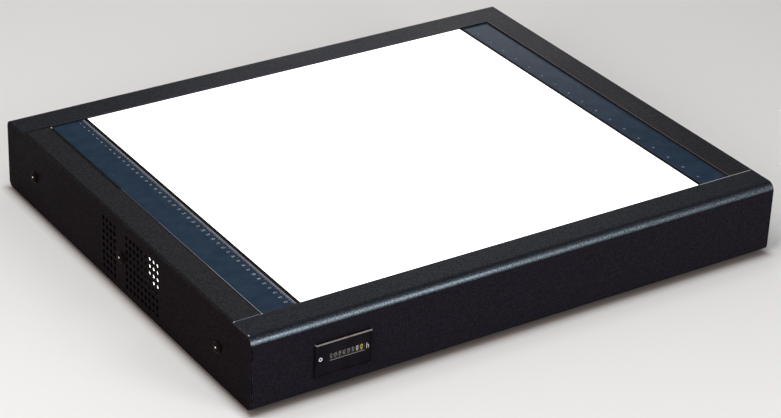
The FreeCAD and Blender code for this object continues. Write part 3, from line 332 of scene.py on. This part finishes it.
def metal(name, colour, roughness=0.35, stretch=(1.0, 1.0, 1.0)):
    """Bright metal with fine drawn or rolled lines."""
    material, tree, shader = new_material(name, colour, roughness, metallic=1.0)
    lines = noise(tree, 700.0, 3.0, 0.6, stretch)
    stain = noise(tree, 45.0, 3.0)
    stained = mix_colours(tree, remap(tree, stain, 0.0, 1.0), colour, scaled(colour, 0.78))
    tree.links.new(stained, shader.inputs["Base Color"])
    tree.links.new(remap(tree, lines, roughness - 0.1, roughness + 0.12), shader.inputs["Roughness"])
    add_bump(tree, shader, lines, 0.04 * MM, 0.5)
    return material


def glowing(name, colour, strength, roughness=0.25):
    """A lit translucent surface: its own light and a soft gloss."""
    material, tree, shader = new_material(name, colour, roughness)
    shader.inputs["Emission Color"].default_value = (1.0, 1.0, 1.0, 1.0)
    shader.inputs["Emission Strength"].default_value = strength
    rough = remap(tree, noise(tree, 8.0), roughness - 0.04, roughness + 0.06)
    tree.links.new(rough, shader.inputs["Roughness"])
    return material


def lamp_glass(name, strength):
    """A lit tube, greyer over the last centimetres towards its caps."""
    glass = (0.9, 0.9, 0.9, 1.0)
    material, tree, shader = new_material(name, glass, 0.2)
    reach = off_middle(tree, "X")
    light = remap(tree, reach, strength, 0.25 * strength, 245 * MM, 288 * MM)
    shader.inputs["Emission Color"].default_value = (1.0, 1.0, 0.98, 1.0)
    tree.links.new(light, shader.inputs["Emission Strength"])
    ring = remap(tree, reach, 0.0, 1.0, 262 * MM, 290 * MM)
    speck = times(tree, ring, remap(tree, noise(tree, 90.0, 3.0), 0.3, 1.0))
    greyed = mix_colours(tree, speck, glass, (0.25, 0.25, 0.27, 1.0))
    tree.links.new(greyed, shader.inputs["Base Color"])
    return material


def clear(name, colour, alpha, roughness=0.05):
    material, tree, shader = new_material(name, colour, roughness)
    shader.inputs["Alpha"].default_value = alpha
    smear = noise(tree, 120.0, 3.0)
    tree.links.new(remap(tree, smear, roughness, roughness + 0.12), shader.inputs["Roughness"])
    return material


def enamel(name, colour, roughness=0.3, dark_beyond=None):
    """Stove enamel with slight orange peel; black beyond a distance from the middle, if one is given."""
    material, tree, shader = new_material(name, colour, roughness)
    peel = noise(tree, 380.0, 2.0)
    if dark_beyond:
        outside = remap(tree, off_middle(tree, "X"), 0.0, 1.0, dark_beyond - MASK_SOFT, dark_beyond)
        tree.links.new(mix_colours(tree, outside, colour, linear(3, 3, 3)), shader.inputs["Base Color"])
        tree.links.new(remap(tree, outside, 0.5, 0.0, 0.0, 1.0), shader.inputs["Specular IOR Level"])
    else:
        dust = remap(tree, noise(tree, 14.0, 3.0), 0.0, 1.0)
        tree.links.new(mix_colours(tree, dust, colour, scaled(colour, 0.93)), shader.inputs["Base Color"])
    tree.links.new(remap(tree, peel, roughness - 0.05, roughness + 0.08), shader.inputs["Roughness"])
    add_bump(tree, shader, peel, 0.1 * MM, 0.3)
    return material


def edge_of(node, corner, axis):
    """One side of a node's box, in millimetres: corner 0 is its lowest, 1 its highest."""
    return getattr(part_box(node)[corner], axis) / MM


# Marks run a little past the steel's edges, so that their soft sides fall off it.
PAST = 0.1
FRONT_LIP = edge_of("front_profile", 1, "y") + PAST
REAR_LIP = edge_of("rear_profile", 0, "y") - PAST
LEFT_END = edge_of("front_profile", 0, "x") - PAST
RIGHT_END = edge_of("front_profile", 1, "x") + PAST
LEFT_STRIP = edge_of("left_side_panel", 1, "x") + PAST
RIGHT_STRIP = edge_of("right_side_panel", 0, "x") - PAST
LEFT_FOLD = edge_of("left_side_panel", 0, "x") - PAST
GLASS_LEFT = edge_of("left_scale_band", 1, "x")
GLASS_RIGHT = edge_of("right_scale_band", 0, "x")

# Painted highlight: small bright spots and lines where the sheet's corners and edges catch the light.
PAINTED_HIGHLIGHT = linear(190, 190, 194)
# Painted shade: dark lines in the seams between parts and along the fold.
PAINTED_SHADE_LINE = linear(5, 5, 6)
# Painted light and shade on the profiles' top lips, in millimetres: painted highlights as thin light lines
# along the lips' inner edges, glints at the front left corners and end, and painted shade lines at the
# rear lip's ends.
PROFILE_LIGHT_AND_SHADE = (
    (GLASS_RIGHT - 1.5, RIGHT_END, FRONT_LIP - 0.8, FRONT_LIP, PAINTED_HIGHLIGHT),
    (LEFT_END + 0.8, LEFT_STRIP, FRONT_LIP - 0.8, FRONT_LIP, linear(112, 124, 134)),
    (LEFT_STRIP, GLASS_LEFT - 0.5, FRONT_LIP - 1.3, FRONT_LIP, linear(58, 32, 42)),
    (LEFT_END, LEFT_END + 1.5, FRONT_LIP - 1.5, FRONT_LIP, PAINTED_HIGHLIGHT),
    (LEFT_STRIP - 1.3, LEFT_STRIP + 0.2, FRONT_LIP - 1.3, FRONT_LIP, PAINTED_HIGHLIGHT),
    (LEFT_END, LEFT_END + 1.2, FRONT_LIP - 29.6, FRONT_LIP - 27.1, PAINTED_HIGHLIGHT),
    (LEFT_STRIP, RIGHT_STRIP, REAR_LIP, REAR_LIP + 0.6, linear(84, 76, 80)),
    (LEFT_END, LEFT_STRIP, REAR_LIP, REAR_LIP + 1.5, PAINTED_SHADE_LINE),
    (RIGHT_STRIP, RIGHT_END, REAR_LIP, REAR_LIP + 1.1, PAINTED_SHADE_LINE),
)
# Painted light and shade on the side panels' top flanges, in millimetres: a painted highlight along the
# left flange's inner edge, fading towards the rear, and a light line along the right one; painted shade
# lines beside the left edge, at its rear end and along the left fold; a glint near the rear left corner.
PANEL_LIGHT_AND_SHADE = (
    (LEFT_STRIP - 0.7, LEFT_STRIP, FRONT_LIP, -120, linear(150, 150, 156)),
    (LEFT_STRIP - 0.7, LEFT_STRIP, -120, -20, linear(118, 118, 124)),
    (LEFT_STRIP - 0.7, LEFT_STRIP, -20, 90, linear(86, 86, 92)),
    (LEFT_STRIP - 0.7, LEFT_STRIP, 90, REAR_LIP, PAINTED_SHADE_LINE),
    (LEFT_STRIP - 2.4, LEFT_STRIP - 0.8, FRONT_LIP, 60, PAINTED_SHADE_LINE),
    (LEFT_STRIP - 4.1, LEFT_STRIP, 60, REAR_LIP, PAINTED_SHADE_LINE),
    (LEFT_END, LEFT_STRIP, REAR_LIP - 2.1, REAR_LIP, PAINTED_SHADE_LINE),
    (RIGHT_STRIP, RIGHT_STRIP + 0.9, FRONT_LIP, REAR_LIP, linear(112, 92, 78)),
    (LEFT_FOLD, LEFT_FOLD + 3.5, FRONT_LIP, REAR_LIP, PAINTED_SHADE_LINE),
    (LEFT_STRIP - 2.3, LEFT_STRIP - 0.5, REAR_LIP - 4.5, REAR_LIP - 2.5, PAINTED_HIGHLIGHT),
)
ROCKER_X = sum(corner.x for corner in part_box("power_rocker")) / 2
ROCKER_Z = sum(corner.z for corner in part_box("inlet_housing")) / 2
END_WALL_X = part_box("right_end_wall")[1].x

# Each coat's first colour is for its walls, painted darker as shade, and its second for the upward faces
# of its top, painted lighter as lit; the side panels' walls are the darkest.
PROFILE_COAT = powder_coat("profile_coat", linear(25, 23, 29), linear(27, 29, 35), PROFILE_LIGHT_AND_SHADE)
PANEL_COAT = powder_coat("panel_coat", linear(10, 4, 7), linear(28, 29, 33), PANEL_LIGHT_AND_SHADE, REDDISH, 0.006)
INSIDE_COAT = powder_coat("inside_coat", linear(20, 20, 22), linear(28, 28, 30))
FILM = moulded("scale_film", linear(34, 50, 67), 0.2, 700.0, 0.02, specular=0.035)
WHITE = enamel("white_enamel", linear(236, 236, 232))
END_WALL = enamel("end_wall_enamel", linear(236, 236, 232), dark_beyond=END_WALL_X - 0.85 * MM)
OPAL = glowing("opal_glass", (1.0, 1.0, 1.0, 1.0), 1.25)
TUBE = lamp_glass("lamp_tube", 7.0)
CAP = metal("lamp_cap", (0.75, 0.75, 0.77, 1.0), 0.35, (0.1, 1.0, 1.0))
RUBBER = moulded("rubber", linear(30, 30, 31), 0.75, 900.0, 0.12, specular=0.2)
STEEL = metal("screw_steel", (0.6, 0.6, 0.62, 1.0), 0.38)
BLACK_SCREW = moulded("black_screw", linear(20, 13, 9), 0.45, 1200.0, 0.03, specular=0.03)
# The white lampholders are given a glow of their own: painted light standing in for the lamps' light round
# them.
HOLDER_PAINTED_GLOW = glowing("lampholder_painted_glow", linear(232, 232, 228), 0.8, 0.4)
TERMINAL = moulded("terminal_white", linear(226, 226, 222), 0.45)
BALLAST = enamel("ballast_steel", linear(214, 214, 210), 0.35)
# Its second colour is the bevel's painted highlight.
COUNTER = counter_plastic("counter_black", linear(17, 14, 21), linear(150, 140, 134))
PANE = clear("clear_pane", (0.2, 0.21, 0.22, 1.0), 0.06)
DRUM = moulded("drum_black", linear(14, 13, 15), 0.5, specular=0.1)
TENTHS = moulded("drum_yellow", linear(20, 17, 12), 0.5, specular=0.1)
INLET = moulded("inlet_black", linear(24, 24, 25), 0.4)
ROCKER = rocker_plastic("rocker_black", linear(26, 26, 27), ROCKER_X, ROCKER_Z)
NICKEL = metal("blade_nickel", (0.72, 0.69, 0.6, 1.0), 0.28, (1.0, 0.1, 1.0))
FUSE = clear("fuse_glass", (0.85, 0.9, 0.9, 1.0), 0.35)
BLACK_WIRE = moulded("wire_pvc", linear(30, 30, 32), 0.45)
RED_WIRE = moulded("wire_red", linear(170, 36, 30), 0.45)
SCALE_INK = moulded("scale_ink", linear(150, 148, 156), 0.5, specular=0.2)
FAINT_INK = moulded("faint_ink", linear(70, 72, 82), 0.5, specular=0.2)
LABEL_INK = moulded("label_ink", linear(168, 170, 178), 0.5, specular=0.2)
BORDER_INK = moulded("border_ink", linear(14, 13, 16), 0.5, specular=0.05)
DIGIT_INK = moulded("digit_ink", linear(170, 166, 160), 0.5)
BRIGHT_INK = moulded("bright_ink", linear(236, 234, 230), 0.5)
YELLOW_INK = moulded("yellow_ink", linear(250, 214, 30), 0.5)
# Painted shade for the screws' socket recesses.
SOCKET_SHADE = moulded("screw_socket", linear(6, 6, 7), 0.6, specular=0.05)

LOOKS = {
    "black_powder_coat": INSIDE_COAT,
    "rubber": RUBBER,
    "gasket_rubber": RUBBER,
    "screw_steel": STEEL,
    "black_screw": BLACK_SCREW,
    "white_enamel": WHITE,
    "opal_glass": OPAL,
    "scale_film": FILM,
    "lamp_tube": TUBE,
    "lamp_cap": CAP,
    "white_plastic": HOLDER_PAINTED_GLOW,
    "ballast_steel": BALLAST,
    "counter_black": COUNTER,
    "clear_pane": PANE,
    "drum_black": DRUM,
    "drum_yellow": TENTHS,
    "motor_steel": STEEL,
    "inlet_black": INLET,
    "blade_nickel": NICKEL,
    "fuse_glass": FUSE,
    "wire_pvc": BLACK_WIRE,
    "wire_red": RED_WIRE,
}
SPECIAL = {
    "front_profile": PROFILE_COAT,
    "rear_profile": PROFILE_COAT,
    "left_side_panel": PANEL_COAT,
    "right_side_panel": PANEL_COAT,
    "left_end_wall": END_WALL,
    "right_end_wall": END_WALL,
    "power_rocker": ROCKER,
    "terminal_block": TERMINAL,
}


def dress_nodes():
    """Give every CAD node its material in each of its slots."""
    for part in frame["record"]["subparts"]:
        item = nodes[part["node"]]
        material = SPECIAL.get(part["node"], LOOKS[part["material_slot"]])
        if not item.data.materials:
            item.data.materials.append(material)
        for index in range(len(item.data.materials)):
            item.data.materials[index] = material


dress_nodes()


# ---- mesh pieces -------------------------------------------------------------------------------


class Sheet:
    """Gathers flat printed marks on one plane, or several, and turns them into one mesh of thin plates."""

    def __init__(self, origin=(0, 0, 0), across=(1, 0, 0), up=(0, 1, 0)):
        self.points, self.faces = [], []
        self.aim(origin, across, up)

    def aim(self, origin, across, up):
        """Choose the plane for the marks that follow."""
        self.origin, self.across, self.up = Vector(origin), Vector(across), Vector(up)
        self.out = self.across.cross(self.up)

    def plate(self, outline, triangles):
        """Add a flat shape with a shallow raised body: outline and triangles in plane coordinates."""
        first = len(self.points)
        for lift in (0.0, PRINT_THICK):
            for x, y in outline:
                self.points.append(self.origin + x * self.across + y * self.up + lift * self.out)
        count = len(outline)
        edges = {}
        for face in triangles:
            for a, b in zip(face, face[1:] + face[:1]):
                edges[(a, b)] = edges.get((a, b), 0) + 1
            self.faces.append([first + count + index for index in face])
            self.faces.append([first + index for index in reversed(face)])
        for a, b in edges:
            if (b, a) not in edges:
                self.faces.append([first + a, first + b, first + count + b, first + count + a])

    def bar(self, x0, y0, x1, y1):
        self.plate([(x0, y0), (x1, y0), (x1, y1), (x0, y1)], [[0, 1, 2, 3]])

    def ring(self, x, y, inner, outer, sides=24):
        turns = [2 * math.pi * k / sides for k in range(sides)]
        outline = [(x + outer * math.cos(t), y + outer * math.sin(t)) for t in turns]
        outline += [(x + inner * math.cos(t), y + inner * math.sin(t)) for t in turns]
        faces = [[k, (k + 1) % sides, sides + (k + 1) % sides, sides + k] for k in range(sides)]
        self.plate(outline, faces)

    def text(self, words, x, y, height, squeeze=1.0, thin=0.0):
        """Centre a short text on a point; height is that of a numeral, thin trims its strokes."""
        shapes = [glyph(letter, thin) for letter in words]
        scale = height / NUMERAL_TALL
        stretch = scale * squeeze
        left = x - sum(shape[2] for shape in shapes) * stretch / 2
        for outline, faces, advance in shapes:
            moved = [(left + stretch * u, y - height / 2 + scale * v) for u, v in outline]
            self.plate(moved, faces)
            left += advance * stretch

    def piece(self, name, material, body):
        mesh = bpy.data.meshes.new(name)
        mesh.from_pydata([tuple(point) for point in self.points], [], self.faces)
        mesh.update()
        return add_piece(name, mesh, material, body)


GLYPHS = {}
NUMERAL_TALL = 0.69


def glyph(letter, thin):
    """The filled outline of one letter in the built-in font, its faces and its advance width."""
    if (letter, thin) not in GLYPHS:
        curve = bpy.data.curves.new("glyph", "FONT")
        curve.body = letter
        curve.offset = -thin
        curve.resolution_u = 3
        item = bpy.data.objects.new("glyph", curve)
        bpy.context.scene.collection.objects.link(item)
        bpy.context.view_layer.update()
        mesh = bpy.data.meshes.new_from_object(item.evaluated_get(bpy.context.evaluated_depsgraph_get()))
        outline = [(point.co.x, point.co.y) for point in mesh.vertices]
        faces = []
        for face in mesh.polygons:
            corners = list(face.vertices)
            faces.append(corners if face.normal.z > 0 else corners[::-1])
        right = max((point[0] for point in outline), default=0.0)
        GLYPHS[(letter, thin)] = (outline, faces, right + 0.08)
        bpy.data.objects.remove(item)
        bpy.data.curves.remove(curve)
        bpy.data.meshes.remove(mesh)
    return GLYPHS[(letter, thin)]


def add_piece(name, mesh, material, body):
    item = bpy.data.objects.new(name, mesh)
    bpy.context.scene.collection.objects.link(item)
    item.data.materials.append(material)
    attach(item, body)
    return item


def ruler(
    name, band, sign, pitch, parts, last, long_mark, short_mark, tick_in, number_out, label_gap, tall, inks
):
    """Marks along one scale band, counted from the rear lip; sign points away from the lit field."""
    low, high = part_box(band)
    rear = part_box("rear_profile")[0].y
    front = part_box("front_profile")[1].y
    inner = high.x if sign < 0 else low.x
    ticks = Sheet((0, 0, high.z + LIFT), (1, 0, 0), (0, 1, 0))
    numbers = Sheet((0, 0, high.z + LIFT), (1, 0, 0), (0, 1, 0))
    half_thick = 0.14 * MM
    count = int((rear - front) / pitch * parts)
    for index in range(1, count + 1):
        y = rear - index * pitch / parts
        reach = long_mark if index % parts == 0 else short_mark
        if parts > 4 and index % (parts // 2) == 0 and index % parts:
            reach = 0.5 * (long_mark + short_mark)
        x0, x1 = sorted((inner + sign * tick_in, inner + sign * (tick_in + reach)))
        ticks.bar(x0, y - half_thick, x1, y + half_thick)
    for number in range(1, last + 1):
        y = rear - number * pitch + label_gap
        numbers.text(str(number), inner + sign * number_out, y, tall)
    x0, x1 = sorted((inner + sign * (tick_in - 0.3 * MM), inner + sign * (tick_in + 0.4 * MM)))
    ticks.bar(x0, front, x1, rear)
    ticks.piece(name + "_ticks", inks[0], "casing")
    numbers.piece(name + "_numbers", inks[1], "casing")


def band_border(name, band, sign, wide):
    """The dark printed border between a scale and the lit field."""
    low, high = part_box(band)
    inner = high.x if sign < 0 else low.x
    border = Sheet((0, 0, high.z + LIFT), (1, 0, 0), (0, 1, 0))
    x0, x1 = sorted((inner, inner + sign * wide))
    border.bar(x0, low.y, x1, high.y)
    border.piece(name, BORDER_INK, "casing")


def scales():
    ruler(
        "centimetre",
        "left_scale_band",
        sign=-1,
        pitch=10 * MM,
        parts=10,
        last=44,
        long_mark=3.4 * MM,
        short_mark=2.2 * MM,
        tick_in=4.6 * MM,
        number_out=12 * MM,
        label_gap=3.8 * MM,
        tall=2.8 * MM,
        inks=(SCALE_INK, LABEL_INK),
    )
    ruler(
        "inch",
        "right_scale_band",
        sign=1,
        pitch=25.4 * MM,
        parts=16,
        last=17,
        long_mark=3.4 * MM,
        short_mark=1.8 * MM,
        tick_in=3.2 * MM,
        number_out=11 * MM,
        label_gap=3.2 * MM,
        tall=2.4 * MM,
        inks=(FAINT_INK, LABEL_INK),
    )
    band_border("centimetre_border", "left_scale_band", -1, 4.3 * MM)
    band_border("inch_border", "right_scale_band", 1, 3.4 * MM)


def drum_numbers():
    """Ten raised numerals round each drum, a nought to the front."""
    for number in range(1, 9):
        name = f"digit_drum_{number}"
        low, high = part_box(name)
        centre = (low + high) / 2
        radius = (high.z - low.z) / 2
        ink, thin = {7: (BRIGHT_INK, 0.0), 8: (YELLOW_INK, -0.02)}.get(number, (DIGIT_INK, 0.018))
        sheet = Sheet()
        for digit in range(10):
            turn = 2 * math.pi * digit / 10
            out = Vector((0, -math.cos(turn), math.sin(turn)))
            up = Vector((0, math.sin(turn), math.cos(turn)))
            sheet.aim(centre + (radius - 0.02 * MM) * out, (1, 0, 0), up)
            sheet.text(str(digit), 0, 0, 5.9 * MM, squeeze=0.6, thin=thin)
        sheet.piece(name + "_numerals", ink, f"drum_{number}")


def counter_print():
    """The printed line, the unit letter and a plain ring mark on the counter's front."""
    low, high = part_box("counter_window")
    middle_z = (low.z + high.z) / 2
    sunk_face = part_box("counter_bezel")[0].y + 0.6 * MM
    marks = Sheet((0, sunk_face - LIFT, 0), (1, 0, 0), (0, 0, 1))
    marks.text("h", high.x + 2.4 * MM, middle_z + 1.0 * MM, 6.6 * MM, squeeze=0.75, thin=0.012)
    marks.ring(low.x - 10.2 * MM, middle_z + 0.6 * MM, 1.1 * MM, 2.1 * MM)
    marks.piece("counter_marks", BRIGHT_INK, "casing")
    inset = 0.6 * MM
    line = Sheet((0, low.y - LIFT, 0), (1, 0, 0), (0, 0, 1))
    line.bar(low.x + inset, low.z + 0.5 * inset, high.x - inset, low.z + inset)
    line.piece("counter_line", DIGIT_INK, "casing")


def screw_sockets():
    """A dark hexagonal socket, painted shade in place of its recess, and a small painted glint on the head
    of each side screw.
    """
    low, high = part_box("side_screws")
    middle_z = (low.z + high.z) / 2
    head_radius = (high.z - low.z) / 2
    socket_radius = 1.7 * MM
    sink = PRINT_THICK - 0.01 * MM
    for label, side, x in (("left", -1, low.x + sink), ("right", 1, high.x - sink)):
        sockets = Sheet((x, 0, 0), (0, side, 0), (0, 0, 1))
        glints = Sheet((x, 0, 0), (0, side, 0), (0, 0, 1))
        for y in (low.y + head_radius, (low.y + high.y) / 2, high.y - head_radius):
            turns = [math.pi / 3 * k for k in range(6)]
            spokes = [(socket_radius * math.cos(turn), socket_radius * math.sin(turn)) for turn in turns]
            hexagon = [(side * y + across, middle_z + up) for across, up in spokes]
            # The socket is a flat dark plate: painted shade in place of its recess.
            sockets.plate(hexagon, [[0, 1, 2, 3, 4, 5]])
            # A small bright plate: a painted glint on the head.
            glints.bar(side * y + 1.6 * MM, middle_z + 1.4 * MM, side * y + 3.4 * MM, middle_z + 3.2 * MM)
        sockets.piece(label + "_screw_sockets", SOCKET_SHADE, "casing")
        glints.piece(label + "_screw_chips", BRIGHT_INK, "casing")


scales()
drum_numbers()
counter_print()
screw_sockets()


# ---- stage -------------------------------------------------------------------------------------


PAPER = linear(249, 248, 246)
CONTACT_SHADE = linear(150, 139, 133)


def vector_node(tree, operation, first, second=(0, 0, 0)):
    node = add_node(tree, "ShaderNodeVectorMath", operation=operation)
    tree.links.new(first, node.inputs[0])
    node.inputs[1].default_value = second
    return node


def floor():
    """Pale paper, a little darker where it meets the casing."""
    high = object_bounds()[1]
    inset = 4 * MM
    half = 9.0
    mesh = bpy.data.meshes.new("floor")
    corners = [(-half, -half, 0), (half, -half, 0), (half, half, 0), (-half, half, 0)]
    mesh.from_pydata(corners, [], [(0, 1, 2, 3)])
    item = bpy.data.objects.new("floor", mesh)
    bpy.context.scene.collection.objects.link(item)
    material, tree, shader = new_material("floor_paper", PAPER, 0.9, specular=0.1)
    mirrored = vector_node(tree, "ABSOLUTE", object_point(tree)).outputs["Vector"]
    past = vector_node(tree, "SUBTRACT", mirrored, (high.x - inset, high.y - inset, 0)).outputs["Vector"]
    outside = vector_node(tree, "MAXIMUM", past).outputs["Vector"]
    away = vector_node(tree, "LENGTH", outside).outputs["Value"]
    near = remap(tree, away, 1.0, 0.0, 0.0, 15 * MM)
    paper = mix_colours(tree, times(tree, near, near), PAPER, CONTACT_SHADE)
    tree.links.new(paper, shader.inputs["Base Color"])
    add_bump(tree, shader, noise(tree, 300.0, 3.0), 0.1 * MM, 0.2)
    item.data.materials.append(material)
    item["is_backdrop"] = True


def soft_light(name, place, aim, size, radiance, colour=(1.0, 1.0, 1.0)):
    data = bpy.data.lights.new(name, "AREA")
    data.shape = "RECTANGLE"
    data.size, data.size_y = size
    data.energy = math.pi * size[0] * size[1] * radiance
    data.color = colour
    item = bpy.data.objects.new(name, data)
    item.location = place
    item.rotation_euler = (Vector(aim) - Vector(place)).to_track_quat("-Z", "Y").to_euler()
    bpy.context.scene.collection.objects.link(item)


def surroundings(level):
    world = bpy.data.worlds.new("studio")
    bpy.context.scene.world = world
    world.use_nodes = True
    background = world.node_tree.nodes["Background"]
    background.inputs["Color"].default_value = (1.0, 0.988, 0.984, 1.0)
    background.inputs["Strength"].default_value = level


def camera():
    """A long lens at the front left with a slight roll."""
    azimuth, elevation, roll = (math.radians(angle) for angle in (-34.01, 28.57, 2.31))
    distance = 2.727
    target = Vector((0.0164, 0.011, 0.004))
    level = math.cos(elevation)
    back = Vector((math.sin(azimuth) * level, -math.cos(azimuth) * level, math.sin(elevation)))
    across = Vector((math.cos(azimuth), math.sin(azimuth), 0.0))
    up = back.cross(across)
    right = math.cos(roll) * across + math.sin(roll) * up
    top = math.cos(roll) * up - math.sin(roll) * across
    turn = Matrix((right, top, back)).transposed()
    data = bpy.data.cameras.new("camera")
    data.lens = 116.2
    data.sensor_width = 36.0
    data.clip_end = 50.0
    item = bpy.data.objects.new("camera", data)
    item.matrix_world = Matrix.Translation(target + distance * back) @ turn.to_4x4()
    bpy.context.scene.collection.objects.link(item)
    bpy.context.scene.camera = item


def lights():
    """A broad sky over the left, a box at the left and one in front, and a low card behind the bends."""
    surroundings(0.27)
    warm, cool = (1.0, 0.987, 0.983), (0.95, 0.97, 1.0)
    soft_light("overhead", (-0.82, -0.1, 1.9), (-0.2, -0.05, 0.0), (1.5, 1.5), 2.45, warm)
    soft_light("left_softbox", (-2.1, -0.9, 1.2), (-0.3, -0.2, 0.0), (1.1, 1.0), 5.4, warm)
    soft_light("front_softbox", (0.5, -1.75, 0.85), (-0.1, -0.2, 0.05), (0.7, 0.75), 6.2, cool)
    soft_light("rear_card", (0.95, 1.35, 0.62), (0.2, 0.25, 0.08), (0.8, 0.25), 3.0, (1.0, 0.97, 1.0))


floor()
lights()
camera()
bpy.context.scene.view_settings.view_transform = "Standard"
